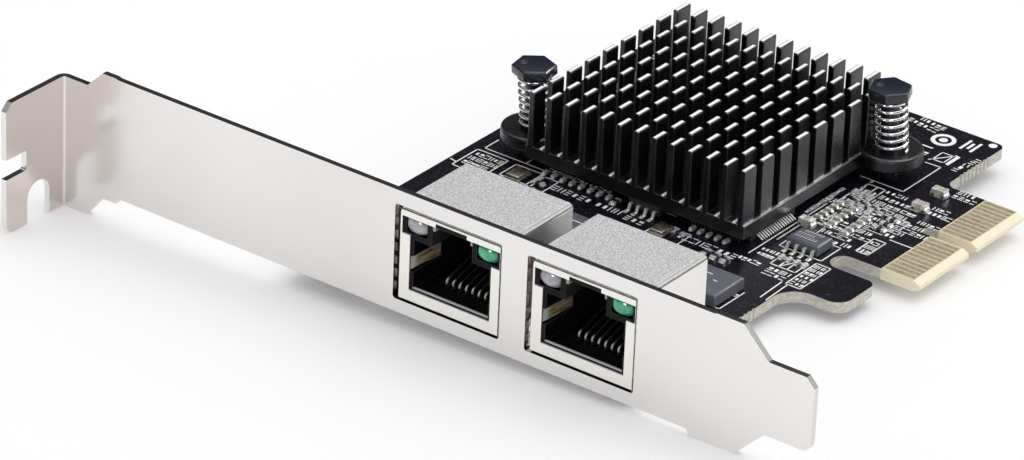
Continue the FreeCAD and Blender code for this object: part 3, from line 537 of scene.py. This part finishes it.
# ---- heat sink: extruded base, two ears and a field of cross-cut fins with chamfered tips
sink = {
    "across": 13, "deep": 9, "pitchX": 2.825, "pitchY": 4.07,
    "finThick": 0.86, "finLength": 2.58, "lastLength": 3.05, "finRound": 0.12, "finCrown": 0.19,
    "finRoot": 0.4,                       # how far the fins reach down into the base
    "base": 1.95, "baseRound": 0.12, "ledge": 0.28,
    "line": 0.09, "lineInset": 0.1, "lineDeep": 0.12, "lineProud": 0.012,
    "glintInset": 0.03, "glintDepth": 1.5, "glintWidth": 0.42, "glintAside": 0.40,
    "glintDeep": 0.10, "glintRise": 0.15, "glintRound": 0.05,
    "earX": 19.75, "earY": 13.25, "earRise": 0.30,
    "ear": ((1.45, -2), (4.02, -2), (4.4, -1.62), (4.4, -0.38), (4.286, -0.114), (4.02, 0), (1.45, 0)),
}


def addFin(bm, low, high):
    faces = addBox(bm, low, high)
    edges = {e for f in faces for e in f.edges}
    crown = [e for e in edges if min(v.co.z for v in e.verts) > high.z - 1e-6
             and abs(e.verts[0].co.y - e.verts[1].co.y) > (high.y - low.y) / 2]
    cut = roundEdges(bm, crown, sink["finCrown"])
    body = {f for f in faces if f.is_valid} | {f for v in cut["verts"] for f in v.link_faces}
    ends = [f for f in body if max(v.co.y for v in f.verts) - min(v.co.y for v in f.verts) < 1e-7]
    rims = {e for f in ends for e in f.edges if max(v.co.z for v in e.verts) > low.z + 1e-6}
    roundEdges(bm, rims, sink["finRound"])


def makeHeatSink():
    low, high = boxOf("heat_sink")
    d = inMetres(sink)
    middle = (low + high) / 2
    floor = low.z + d["base"]
    footX = (sink["across"] - 1) / 2 * d["pitchX"] + d["finThick"] / 2
    halfX = footX + d["ledge"]
    halfY = (sink["deep"] - 1) / 2 * d["pitchY"] + d["lastLength"] / 2
    front, back = middle.y - halfY, middle.y + halfY
    bm = bmesh.new()
    addBox(bm, (middle.x - halfX, front, low.z), (middle.x + halfX, back, floor), 0, sink["baseRound"], 2)
    for side in (-1, 1):
        spot = Vector((middle.x + side * d["earX"], middle.y + side * d["earY"], floor + d["earRise"]))
        turned(bm, sink["ear"], spot, 56)
    dx = d["finThick"] / 2
    for i in range(sink["across"]):
        for j in range(sink["deep"]):
            x = middle.x + (i - (sink["across"] - 1) / 2) * d["pitchX"]
            y = front + j * d["pitchY"]
            deep = d["lastLength" if j == sink["deep"] - 1 else "finLength"]
            addFin(bm, Vector((x - dx, y, floor - d["finRoot"])), Vector((x + dx, y + deep, high.z)))
    # the cut fin tops are painted near white: partly bare metal, partly a painted highlight
    for f in bm.faces:                           # bare cut ends
        if min(v.co.z for v in f.verts) > high.z - 1e-6:
            f.material_index = 2
    thin, inset = d["line"], d["lineInset"]
    # painted highlights: thin bright strips along both ledges, standing in for the light on their corners
    for side in (-1, 1):                         # bright corners along both ledges
        for x in (footX + thin, halfX):
            near = middle.x + side * (x - thin / 2)
            addBox(bm, (near - thin / 2, front + inset, floor - d["lineDeep"]),
                   (near + thin / 2, back - inset, floor + d["lineProud"]), 1)
    half = d["glintWidth"] / 2
    for i in range(sink["across"] - 1):          # the cut floors catch the light at their front ends
        x = middle.x + (i - (sink["across"] - 2) / 2) * d["pitchX"] + d["glintAside"]
        addBox(bm, (x - half, front + d["glintInset"], floor - d["glintDeep"]),
               (x + half, front + d["glintDepth"], floor + d["glintRise"]),
               2, sink["glintRound"])
    finishPiece("heatSinkFins", bm, ("anodised", "ledgeLight", "tip"), ("heat_sink",), 21, True)


# ---- coil springs and push pins
coil = {"wire": 0.50, "radius": 2.16, "turns": 7.0, "stepsPerTurn": 26, "wireSides": 10}


def makeSpring(node):
    low, high = boxOf(node)
    middle = (low + high) / 2
    r = coil["wire"] / 2 * mm
    steps = round(coil["turns"] * coil["stepsPerTurn"])
    climb = (high.z - low.z - 2 * r) / steps
    bm = bmesh.new()
    start = Matrix.Translation(Vector((middle.x + coil["radius"] * mm, middle.y, low.z + r)))
    ring = bmesh.ops.create_circle(bm, segments=coil["wireSides"], radius=r, cap_ends=False,
                                   matrix=start @ Matrix.Rotation(math.pi / 2, 4, "X"))["verts"]
    edges = list({e for v in ring for e in v.link_edges})
    bmesh.ops.spin(bm, geom=ring + edges, cent=middle, axis=(0, 0, 1), dvec=(0, 0, climb),
                   angle=math.tau * coil["turns"], steps=steps, use_duplicate=False)
    bmesh.ops.holes_fill(bm, edges=[e for e in bm.edges if e.is_boundary], sides=0)
    leanOver(bm, node)
    finishPiece(node + ".coil", bm, ("spring",), (node,), 50, True)


pinHead = {
    "round": 0.16, "dimpleAt": (-1.35, -0.5, -0.10),
    "dimple": ((0.05, 0), (0.55, 0), (0.517, 0.12), (0.44, 0.15), (0.275, 0.12), (0.05, 0.11)),
    "from": 3.0, "full": 4.15,                       # heights above the board between which a pin moves aside
    "aside": ((0.48, 0.20), (0.27, -0.42)), "lean": ((-0.105, 0.0), (-0.0903, -0.007)),
}


# the pins stand a little askew in the clearance of their holes
def leanOver(bm, node):
    start, full = pinHead["from"], pinHead["full"]
    aside, lean = (pinHead[key][int(node[-1]) - 1] for key in ("aside", "lean"))
    for v in bm.verts:
        height = (v.co.z - boardTop) / mm
        part = min(max((height - start) / (full - start), 0), 1)
        over = max(height - full, 0)
        v.co.x += (aside[0] * part + lean[0] * over) * mm
        v.co.y += (aside[1] * part + lean[1] * over) * mm


def makePushPin(node):
    low, high = boxOf(node)
    bm = mergedCopy(node)
    roundSharp(bm, pinHead["round"], 25)
    spot = Vector((*((low + high) / 2).xy, high.z)) + Vector(pinHead["dimpleAt"]) * mm
    turned(bm, pinHead["dimple"], spot, 20)
    leanOver(bm, node)
    finishPiece(node + ".head", bm, ("pin",), (node,), 24)


# ---- small two-ended parts: a body between two tinned ends, with a little solder
endCaps = {"share": 0.29, "lap": 0.6, "proud": 0.02, "round": 0.06, "bodyRound": 0.04,
           "solder": 0.20, "solderRise": 0.55, "solderRound": 0.16, "solderShare": 0.22}


def makeEndedParts(node, bodyFinish):
    bm = bmesh.new()
    proud = Vector((1, 1, 1)) * endCaps["proud"] * mm
    for low, high in solidBoxes(node):
        size = high - low
        k = 0 if size.x > size.y else 1
        run = Vector((1 - k, k, 0))
        end = run * size[k] * endCaps["share"]
        addBox(bm, low + end * endCaps["lap"], high - end * endCaps["lap"], 0, endCaps["bodyRound"])
        rest = run * size[k] - end
        for side in (0, 1):
            a, b = low - proud + rest * side, high + proud - rest * (1 - side)
            a.z = low.z
            addBox(bm, a, b, 1, endCaps["round"], 2)
            wide = run * endCaps["solder"] * mm
            c, d = a - wide * (1 - side), b + wide * side
            d.z = low.z + size.z * endCaps["solderRise"]
            addBox(bm, c, d, 1, min(endCaps["solderRound"], size.z / mm * endCaps["solderShare"]), 2)
    finishPiece(node + ".ends", bm, (bodyFinish, "lead"), (node,), 21)


inductor = {"round": 0.35, "stand": 0.25, "padAside": 0.36, "padHalf": 0.13,
            "padProud": 0.05, "padRise": 0.4, "padRound": 0.06}


def makeInductors():
    bm = bmesh.new()
    out = inductor["padProud"] * mm
    for low, high in solidBoxes("power_inductors"):
        addBox(bm, (low.x, low.y, low.z + inductor["stand"] * mm), high, 0, inductor["round"], 3)
        wide = high.x - low.x
        for side in (-1, 1):
            x = (low.x + high.x) / 2 + side * wide * inductor["padAside"]
            half = wide * inductor["padHalf"]
            addBox(bm, (x - half, low.y - out, low.z),
                   (x + half, high.y + out, low.z + inductor["padRise"] * mm), 1, inductor["padRound"])
    finishPiece("powerInductors", bm, ("ferrite", "lead"), ("power_inductors",), 24)


# ---- solder under the gull-wing leads, and cones of it round the legs on the far side
solder = {
    "half": 0.30, "reach": 0.40, "rise": 0.17, "round": 0.10, "chipHalf": 1.75,
    "cone": ((0.02, -0.95), (0.26, -0.90), (0.34, -0.55), (0.58, -0.18), (0.80, -0.02), (0.80, 0.0),
             (0.02, 0.0)),
}


def makeSolder():
    bm = bmesh.new()
    half, reach = solder["half"] * mm, solder["reach"] * mm
    for chip in ("memory_chip", "regulator_chip"):
        middle = boxOf(chip)[0].y + solder["chipHalf"] * mm
        for low, high in solidBoxes(chip + "_leads"):
            x = (low.x + high.x) / 2
            y = low.y if (low.y + high.y) / 2 < middle else high.y
            addBox(bm, (x - half, y - reach, boardTop), (x + half, y + reach, boardTop + solder["rise"] * mm),
                   0, solder["round"], 2)
    for node in ("jack_legs_1", "jack_legs_2"):
        for low, high in solidBoxes(node):
            turned(bm, solder["cone"], Vector(((low.x + high.x) / 2, (low.y + high.y) / 2, boardLow.z)), 14)
    finishPiece("solderJoints", bm, ("lead",), (), 50, True)


# ---- lamps: a rounded lens on a light guide, in grey frames
lampShape = {
    "lens": (1.95, 1.20, 1.55), "behind": 0.12, "aside": 0.30, "guideRound": 0.15,
    "inset": 0.27, "frame": 0.12, "frameDepth": 0.9, "frameDrop": 0.2, "frameRound": 0.06,
    "cap": 1.15, "capInset": 0.1, "capDrop": 0.95, "capRise": 0.15, "capRound": 0.08,
    "stepAside": 0.55, "stepInset": 0.2, "stepDown": 2.6,
    "sill": 2.36, "windowHalf": 6.20, "sillThick": 0.17, "sillDepth": 0.4, "sillSide": 2.2, "sillRound": 0.05,
}


def makeLamp(node, finishKey):
    low, high = boxOf(node)
    middle = (low + high) / 2
    sx, sy, sz = [v * mm for v in lampShape["lens"]]
    front = boxOf("jack_shield_" + node[-1])[0].y + lampShape["behind"] * mm
    place = Matrix.Translation((middle.x - lampShape["aside"] * mm, front + sy, middle.z))
    bm = bmesh.new()
    bmesh.ops.create_uvsphere(bm, u_segments=32, v_segments=20, radius=1.0,
                              matrix=place @ Matrix.Diagonal((sx, sy, sz, 1)))
    addBox(bm, (low.x, low.y + sy, low.z), high, 0, lampShape["guideRound"], 2)
    finishPiece(node + ".lens", bm, (finishKey,), (node,), 40, True)


def makeLampFrames(port):
    low, high = boxOf(f"jack_shield_{port}")
    d = inMetres(lampShape)
    t, r, rim = d["frame"], lampShape["frameRound"], lampShape["sillRound"]
    middle, front = (low.x + high.x) / 2, low.y + d["inset"]
    back = front + d["frameDepth"]
    bm = bmesh.new()
    for node in (f"clear_lamp_{port}", f"green_lamp_{port}"):
        low, high = boxOf(node)
        inward = 1 if (low.x + high.x) / 2 < middle else -1
        edge = high.x if inward > 0 else low.x
        a, b = sorted((edge, edge + inward * t))
        addBox(bm, (a, front, low.z - t), (b, back, high.z - d["frameDrop"]), 0, r, 2)
        addBox(bm, (min(low.x, a), front, low.z - t), (max(high.x, b), back, low.z), 0, r, 2)
        a, b = sorted((edge, edge + inward * d["cap"]))
        addBox(bm, (a, front + d["capInset"], high.z - d["capDrop"]), (b, back, high.z + d["capRise"]),
               0, lampShape["capRound"], 2)
        if inward > 0:                        # the moulding steps down again beside the clear lamp
            x = low.x + d["stepAside"]
            addBox(bm, (x, front + d["stepInset"], low.z - d["stepDown"]), (x + t, back, low.z - t), 0, r, 2)
    left, level = middle - d["windowHalf"], boardTop + d["sill"]
    thin, back = d["sillThick"], front + d["sillDepth"]
    addBox(bm, (left, front, level), (middle + d["windowHalf"], back, level + thin), 1, rim)
    addBox(bm, (left, front, level), (left + thin, back, level + d["sillSide"]), 1, rim)
    finishPiece(f"lampFrames_{port}", bm, ("frame", "lip"), (), 21)


# ---- contact wires: a rounded nose and a slope up to the back of the cavity
wire = {"share": 0.58, "thick": 0.26, "nose": 0.46, "wrap": 152, "steps": 7, "rootBack": 1.2, "deeper": 1.1,
        "lift": 0.05, "tailFront": 0.4}


def makeContacts(node):
    d = inMetres(wire)
    r, t = d["nose"], d["thick"]
    bm = bmesh.new()
    for low, high in solidBoxes(node):
        x, wide = (low.x + high.x) / 2, (high.x - low.x) * wire["share"]
        bend = Vector((x, low.y + r + t / 2 + d["deeper"], low.z + r + t / 2 + d["lift"]))
        place = Matrix.Translation((x, bend.y + d["rootBack"], bend.z - r))
        turn = Matrix.Rotation(math.pi / 2, 4, "X") @ Matrix.Diagonal((wide, t, 1, 1))
        made = bmesh.ops.create_grid(bm, x_segments=1, y_segments=1, size=0.5, matrix=place @ turn)
        root = bmesh.ops.extrude_discrete_faces(bm, faces=[made["verts"][0].link_faces[0]])["faces"]
        bmesh.ops.translate(bm, verts=root[0].verts, vec=Vector((0, -d["rootBack"], 0)))
        swept = bmesh.ops.spin(bm, geom=root, cent=bend, axis=(-1, 0, 0), angle=math.radians(wire["wrap"]),
                               steps=wire["steps"], use_duplicate=False)["geom_last"]
        last = [f for f in swept if isinstance(f, bmesh.types.BMFace)]
        tip = last[0].calc_center_median()
        tail = bmesh.ops.extrude_discrete_faces(bm, faces=last)["faces"]
        bmesh.ops.translate(bm, verts=tail[0].verts,
                            vec=Vector((x, high.y - d["tailFront"], high.z - t)) - tip)
    bmesh.ops.remove_doubles(bm, verts=bm.verts, dist=0.001 * mm)
    finishPiece(node + ".bent", bm, ("wire",), (node,), 35, True)


# ---- grounding springs that fill the gap beside each socket, and stand out by turns
gapSprings = {"count": 7, "tongue": 1.25, "out": 0.52, "turns": (0.75, 1.0, 0.875),
              "foot": 0.6, "front": 0.75, "back": 2.3, "round": 0.14}


def makeGapSprings(port):
    low, high = boxOf(f"jack_shield_{port}")
    d = inMetres(gapSprings)
    bottom, half = max(low.z, boardTop + d["foot"]), d["tongue"] / 2
    pitch = (high.z - bottom) / gapSprings["count"]
    bm = bmesh.new()
    for k in range(gapSprings["count"]):
        z = bottom + (k + 0.5) * pitch
        out = d["out"] * gapSprings["turns"][k % 3]
        addBox(bm, (low.x - out, low.y + d["front"], z - half), (low.x, low.y + d["back"], z + half),
               0, gapSprings["round"], 2)
    finishPiece(f"gapSprings_{port}", bm, ("dullTin",), (), 21)


# a fine dark line between the bracket and each socket's face: a painted shadow standing for the gap there
shadowSeam = {"wide": 0.09, "proud": 0.012, "deep": 0.25, "panelFront": 1.1, "foot": 0.6, "round": 0.03}


def makeShadowSeam(port):
    low, high = boxOf(f"jack_shield_{port}")
    d = inMetres(shadowSeam)
    front, half = boardLow.y - d["panelFront"], d["wide"] / 2
    near, back = front - d["proud"], front + d["deep"]
    bm = bmesh.new()
    addBox(bm, (high.x - half, near, boardTop + d["foot"]), (high.x + half, back, high.z), 0, shadowSeam["round"])
    addBox(bm, (low.x, near, high.z - half), (high.x + half, back, high.z + half), 0, shadowSeam["round"])
    finishPiece(f"socketShadowSeam_{port}", bm, ("dullTin",), (), 21)


# each shell is a little wider than its face, on the side of the grounding springs
shellSide = {"wide": 1.0, "lap": 0.95, "proud": 0.012, "start": 2.0, "foot": 2.2, "round": 0.10}


def makeShellSide(port):
    low, high = boxOf(f"jack_shield_{port}")
    d = inMetres(shellSide)
    bm = bmesh.new()
    addBox(bm, (low.x - d["wide"], boardLow.y + d["start"], boardTop + d["foot"]),
           (low.x + d["lap"], high.y + d["proud"], high.z + d["proud"]), 0, shellSide["round"], 2)
    finishPiece(f"shellSide_{port}", bm, ("tin",), (), 21)


# ---- bracket: sheared and folded sheet, its wall beside the first socket kept below the shell
steel = {"round": 0.20, "wallDrop": 3.5, "wallBehind": 2.0, "wallAbove": 5.0, "edge": 0.5, "slack": 0.02}


def makeBracket():
    bm = mergedCopy("bracket")
    d = inMetres(steel)
    slack = d["slack"]
    wall = [v.co for v in bm.verts
            if v.co.y > boardLow.y + d["wallBehind"] and v.co.z > boardTop + d["wallAbove"]]
    top = max(c.z for c in wall)
    near, far = min(c.x for c in wall) - slack, max(c.x for c in wall) + slack
    for v in bm.verts:
        if abs(v.co.z - top) < slack and near < v.co.x < far and v.co.y > boardLow.y - d["edge"]:
            v.co.z -= d["wallDrop"]
    roundSharp(bm, steel["round"])
    finishPiece("bracket.soft", bm, ("nickel",), ("bracket",), 12)


# ---- printed lines and marks on the board, in mm from its left front corner
boardPrint = {
    "line": 0.19, "fine": 0.16, "seed": 11,
    # closed outlines: two opposite corners
    "boxes": (
        (1.5, 33.3, 6.6, 39.0), (8.0, 35.1, 12.4, 38.9), (13.1, 34.8, 15.3, 38.5), (49.3, 41.2, 53.2, 38.5),
        (53.9, 35.3, 56.2, 42.4), (47.4, 43.3, 54.0, 47.9), (35.0, 33.6, 37.2, 38.0),
        (32.0, 34.2, 35.0, 38.4), (55.8, 48.6, 57.7, 52.9), (46.6, 61.0, 49.4, 65.2),
        (51.2, 56.2, 54.6, 59.4), (47.4, 49.2, 49.2, 51.6), (49.2, 76.8, 50.9, 79.3),
        (55.4, 57.0, 57.0, 59.6),
    ),
    # open runs
    "runs": (
        ((2.0, 42.9), (2.0, 39.9), (12.6, 39.9)), ((8.8, 41.2), (8.8, 39.9)), ((0.4, 34.5), (1.3, 34.3)),
        ((25.1, 40.9), (32.6, 40.9)),
        ((49.3, 39.9), (50.6, 41.2), (50.6, 38.5), (51.9, 41.2), (51.9, 38.5)),
        ((45.6, 39.0), (45.6, 57.0)), ((46.3, 44.5), (46.3, 61.5)),
        ((44.6, 66.4), (51.4, 66.4), (51.4, 75.5), (49.0, 75.4)),
        ((45.6, 57.6), (48.2, 60.6), (48.2, 65.0)), ((53.5, 30.3), (53.3, 35.3)),
        ((54.5, 30.1), (54.3, 35.3)), ((0.6, 14.6), (0.6, 22.0)),
        ((47.6, 24.2), (51.3, 24.2), (51.3, 29.8)), ((48.0, 53.0), (48.0, 55.6)),
        ((57.6, 54.0), (61.2, 54.0)), ((48.9, 76.4), (51.2, 79.7)),
    ),
    # small marks: pitch, width and height, then the first and last place of each row
    "marks": (
        (0.72, 0.46, 0.8, (2.3, 35.1, 5.6, 35.1), (2.3, 36.5, 6.1, 36.5), (2.3, 37.9, 6.1, 37.9)),
        (0.7, 0.45, 0.6, (12.9, 36.2, 12.9, 38.0)),
        (1.02, 0.62, 1.1, (15.9, 36.9, 21.3, 36.9), (23.0, 36.9, 26.2, 36.9)),
        (1.02, 0.62, 1.0, (28.0, 36.4, 30.2, 36.4)),
        (0.72, 0.42, 0.6, (12.4, 40.6, 22.0, 40.6)),
        (1.05, 0.66, 1.15, (36.2, 36.9, 44.6, 36.9)),
        (0.75, 0.5, 0.8, (45.4, 37.4, 48.2, 37.4)),
        (0.7, 0.45, 0.7, (46.4, 41.2, 48.9, 41.2)),
        (0.7, 0.45, 0.6, (46.6, 39.9, 48.6, 39.9)),
        (0.95, 0.6, 0.75, (50.2, 37.4, 52.8, 37.4), (50.2, 36.1, 52.8, 36.1)),
        (0.68, 0.46, 0.6,
         (54.4, 36.1, 55.9, 36.1), (54.4, 37.2, 55.9, 37.2), (54.4, 38.3, 55.9, 38.3),
         (54.4, 39.4, 55.9, 39.4), (54.4, 40.5, 55.9, 40.5), (54.4, 41.6, 55.9, 41.6)),
        (1.05, 0.72, 1.1, (47.6, 53.9, 51.6, 53.9)),
        (0.8, 0.55, 0.9, (49.8, 50.4, 53.6, 50.4)),
        (0.8, 0.5, 0.8, (45.9, 52.6, 45.9, 52.6)),
        (0.8, 0.55, 0.9, (45.6, 58.4, 52.0, 58.4), (51.7, 54.9, 57.3, 54.9)),
        (0.8, 0.55, 0.8, (51.7, 53.5, 54.8, 53.5)),
        (0.8, 0.55, 0.9, (56.2, 57.4, 60.6, 57.4)),
        (0.8, 0.5, 0.8, (56.4, 58.9, 59.2, 58.9)),
        (0.75, 0.5, 0.8, (47.2, 61.9, 49.2, 61.9), (47.2, 63.2, 49.2, 63.2)),
        (0.8, 0.5, 0.8, (50.2, 61.6, 53.4, 61.6), (50.2, 63.2, 52.6, 63.2)),
        (0.8, 0.55, 0.8,
         (57.4, 63.7, 60.4, 63.7), (57.4, 65.1, 59.2, 65.1), (57.4, 69.8, 60.2, 69.8),
         (57.4, 71.1, 59.4, 71.1)),
        (0.6, 0.45, 0.7, (56.2, 49.2, 57.4, 49.2), (56.2, 50.5, 57.4, 50.5), (56.2, 51.8, 57.4, 51.8)),
        (0.8, 0.5, 0.9, (53.8, 48.9, 54.6, 48.9)),
        (0.7, 0.42, 0.7, (49.4, 28.6, 51.0, 28.6)),
        (0.75, 0.45, 0.7, (47.9, 25.2, 49.9, 25.2)),
        (0.85, 0.5, 0.9, (3.2, 76.8, 9.8, 76.8)),
        (0.9, 0.5, 0.8, (13.0, 75.4, 24.0, 75.4)),
        (0.85, 0.52, 0.8, (40.6, 84.6, 45.0, 83.9)),
        (0.85, 0.5, 0.8, (41.9, 85.8, 45.4, 85.2)),
        (0.95, 0.7, 0.6, (53.2, 76.2, 54.1, 80.3)),
        (0.8, 0.5, 0.8, (45.2, 77.6, 47.6, 77.6)),
        (0.95, 0.55, 0.7, (44.9, 53.4, 44.9, 61.6)),
        (0.9, 0.5, 0.6, (46.7, 66.0, 46.7, 61.4)),
        (0.75, 0.5, 0.7,
         (47.8, 52.2, 51.6, 52.2), (47.0, 57.0, 50.6, 57.0), (50.4, 57.6, 55.2, 57.6),
         (49.6, 60.2, 55.6, 60.2), (53.4, 61.6, 56.2, 61.6), (52.8, 51.9, 55.4, 51.9),
         (51.8, 56.2, 57.8, 56.2), (58.0, 60.6, 60.6, 60.6), (50.0, 64.9, 52.6, 64.9),
         (53.4, 63.2, 55.8, 63.2), (46.8, 59.6, 48.8, 59.6)),
        (0.8, 0.5, 0.8, (46.6, 54.9, 49.6, 54.9)),
    ),
    # thick bars: start, end, width; then rings: middle, radius, width
    "bars": (
        ((51.55, 76.9), (51.55, 79.4), 0.55), ((50.3, 82.0), (50.3, 84.6), 0.4),
        ((51.1, 82.6), (51.1, 84.0), 0.4), ((51.9, 82.0), (51.9, 84.6), 0.4),
        ((46.0, 79.4), (47.4, 79.4), 0.3),
    ),
    "rings": (
        ((47.3, 82.4), 1.75, 0.62), ((47.3, 82.4), 0.62, 0.6), ((53.3, 85.4), 0.6, 0.58),
    ),
    # rows of short bars on the memory chip: start and end along the chip
    "chipRows": ((0.7, 3.9), (0.7, 3.2), (1.2, 4.1)), "chipPitch": 0.42, "chipStart": 0.9, "chipRow": 0.85,
    "chipBar": (0.14, 0.4, 0.09),
    # bars on each block behind the sockets, from its right front corner
    "blockBars": (
        ((-4.6, 2.2), (-3.4, 2.5)), ((-2.6, 3.4), (-2.1, 3.4)), ((-6.0, 4.6), (-3.6, 4.6)),
        ((-6.0, 3.8), (-5.2, 3.8)),
    ),
    "blockLine": 0.14,
}


# a block, twin bars, two dashes, a dash over a dot, or three dashes
def markShapes(x, y, wide, tall):
    fine = boardPrint["fine"]
    left, right, low, high = x - wide / 2, x + wide / 2, y - tall / 2, y + tall / 2
    block = (((x, y - tall * 0.2), (x, y + tall * 0.2), wide * 0.75),)
    twin = (((left, low), (left, high), fine), ((right, low), (right, high), fine))
    dashes = (((left, low), (right, low), fine), ((left, high), (right, high), fine))
    dotted = (((left, low), (right, low), fine),
              ((x - wide * 0.2, y + tall * 0.2), (x + wide * 0.2, y + tall * 0.2), 0.4))
    return block, twin, dashes, dotted, dashes + (((left, y), (right, y), fine),)


def makePrint():
    bm = bmesh.new()
    pick = random.Random(boardPrint["seed"])
    outlines = [((x0, y0), (x1, y0), (x1, y1), (x0, y1), (x0, y0)) for x0, y0, x1, y1 in boardPrint["boxes"]]
    for run in outlines + list(boardPrint["runs"]):
        for a, b in zip(run, run[1:]):
            stroke(bm, a, b, boardPrint["line"])
    for pitch, wide, tall, *rows in boardPrint["marks"]:
        for x0, y0, x1, y1 in rows:
            first, run = Vector((x0, y0)), Vector((x1, y1)) - Vector((x0, y0))
            count = round(run.length / pitch) + 1
            for i in range(count):
                x, y = first + run * (i / max(count - 1, 1))
                for a, b, thick in pick.choice(markShapes(x, y, wide, tall)):
                    stroke(bm, a, b, thick)
    for a, b, wide in boardPrint["bars"]:
        stroke(bm, a, b, wide)
    for (x, y), r, wide in boardPrint["rings"]:
        spot = Vector((boardLow.x + x * mm, boardLow.y + y * mm, boardTop))
        turned(bm, ((r - wide, 0), (r, 0), (r, inkThick), (r - wide, inkThick)), spot, 32)
    low, high = boxOf("memory_chip")
    x0, y0 = (low.x - boardLow.x) / mm, (low.y - boardLow.y) / mm + boardPrint["chipStart"]
    across, along, thick = boardPrint["chipBar"]
    for k, (a, b) in enumerate(boardPrint["chipRows"]):
        y = y0 + k * boardPrint["chipRow"]
        for step in range(round((b - a) / boardPrint["chipPitch"])):
            x = x0 + a + step * boardPrint["chipPitch"]
            stroke(bm, (x, y), (x + across, y + along), thick, high.z)
    for node in ("magnetics_1", "magnetics_2"):
        low, high = boxOf(node)
        corner = Vector(((high.x - boardLow.x) / mm, (low.y - boardLow.y) / mm))
        for a, b in boardPrint["blockBars"]:
            stroke(bm, corner + Vector(a), corner + Vector(b), boardPrint["blockLine"], high.z)
    finishPiece("boardPrint", bm, ("print",))


makeHeatSink()
for node in ("pin_spring_1", "pin_spring_2"):
    makeSpring(node)
for node in ("push_pin_1", "push_pin_2"):
    makePushPin(node)
print("heat sink, springs and pins made")

makeEndedParts("small_capacitors", "ceramic")
makeEndedParts("bulk_capacitors", "ceramic")
makeEndedParts("resistors", "resistor")
makeInductors()
makeSolder()
print("small parts made")

for port in (1, 2):
    makeLamp(f"clear_lamp_{port}", "clearLens")
    makeLamp(f"green_lamp_{port}", "greenLens")
    makeLampFrames(port)
    makeGapSprings(port)
    makeShadowSeam(port)
    makeShellSide(port)
    softened(f"jack_housing_{port}", 0.07, "housing")
    makeContacts(f"jack_contacts_{port}")
    softened(f"magnetics_{port}", 0.12, "slate")
    softened(f"crystal_{port}", 0.05, "can")
print("sockets dressed")
softened("memory_chip", 0.06, "memory")
softened("regulator_chip", 0.06, "chip")
softened("board_screws", 0.10, "screw")
makeBracket()
makePrint()
print("print made")

# nodes shown as they are
kept = {
    "board": ("circuit_board",), "gold": ("edge_contacts",), "fineLead": ("bridge_chip_leads",),
    "lead": ("magnetic_leads", "memory_chip_leads", "regulator_chip_leads", "jack_legs_1", "jack_legs_2"),
    "chip": ("bridge_chip", "controller_chip_1", "controller_chip_2"),
    "pad": ("bridge_pad", "controller_pad_1", "controller_pad_2"),
    "tin": ("jack_shield_1", "jack_shield_2"), "finger": ("jack_springs_1", "jack_springs_2"),
}
for key, members in kept.items():
    for node in members:
        looks = nodes[node].data.materials
        looks.clear()
        looks.append(finishes[key])


# ---- floor and light
def makeStudio():
    floorFinish, tree, shader = newMaterial("paleFloor", Specular_IOR_Level=0.2)
    drift = useGroup(tree, "drift", Scale=3.0)
    grain = useGroup(tree, "grain", Scale=400.0, Depth=0.02)
    pale = studio["floorColour"]
    connect(tree, shader, Base_Color=mixColour(tree, drift.outputs[0], pale, [c * 1.01 for c in pale]),
            Roughness=ramp(tree, grain.outputs["Mask"], ((0.3, 0.75), (0.7, 0.85))))
    # a share of plain white keeps the sheet pale right under the card
    path, blend = tree.nodes.new("ShaderNodeLightPath"), tree.nodes.new("ShaderNodeMixShader")
    glow = addNode(tree, "ShaderNodeEmission", Strength=1.0)
    seen = maths(tree, "ADD", path.outputs["Is Camera Ray"], path.outputs["Is Glossy Ray"], clamp=True)
    tree.links.new(maths(tree, "MULTIPLY", seen, studio["floorGlow"]), blend.inputs[0])
    tree.links.new(shader.outputs[0], blend.inputs[1])
    tree.links.new(glow.outputs[0], blend.inputs[2])
    tree.links.new(blend.outputs[0], tree.nodes["Material Output"].inputs["Surface"])
    bm = bmesh.new()
    tiltX, tiltY = studio["floorTilt"]
    turn = Vector((-tiltX, -tiltY, 1)).to_track_quat("Z", "Y").to_matrix().to_4x4()
    lift = Matrix.Translation(Vector((0, 0, studio["floorHeight"] * mm)))
    bmesh.ops.create_grid(bm, x_segments=8, y_segments=8, size=studio["floorSize"] / 2, matrix=lift @ turn)
    mesh = bpy.data.meshes.new("floor")
    bm.to_mesh(mesh)
    bm.free()
    mesh.materials.append(floorFinish)
    floor = addObject("floor", mesh)
    world = bpy.data.worlds.new("studioSky")
    bpy.context.scene.world = world
    world.use_nodes = True
    tree = world.node_tree
    sky = setInputs(tree.nodes["Background"], Color=(1, 1, 1, 1))
    low, more, rise = studio["sky"]
    aim = splitAxes(tree, coordinates(tree, "Generated"))
    up = maths(tree, "POWER", maths(tree, "MAXIMUM", aim["Z"], 0.0), rise)
    seen = maths(tree, "ADD", maths(tree, "MULTIPLY", up, more), low)
    path = tree.nodes.new("ShaderNodeLightPath")
    connect(tree, sky, Strength=mixColour(tree, path.outputs["Is Glossy Ray"], studio["soft"], seen))
    for spec in studio["lamps"]:
        addLamp(*spec)


makeStudio()
cameraRig()
bpy.context.scene.view_settings.view_transform = "Standard"
print("studio and camera set")

bpy.context.view_layer.update()
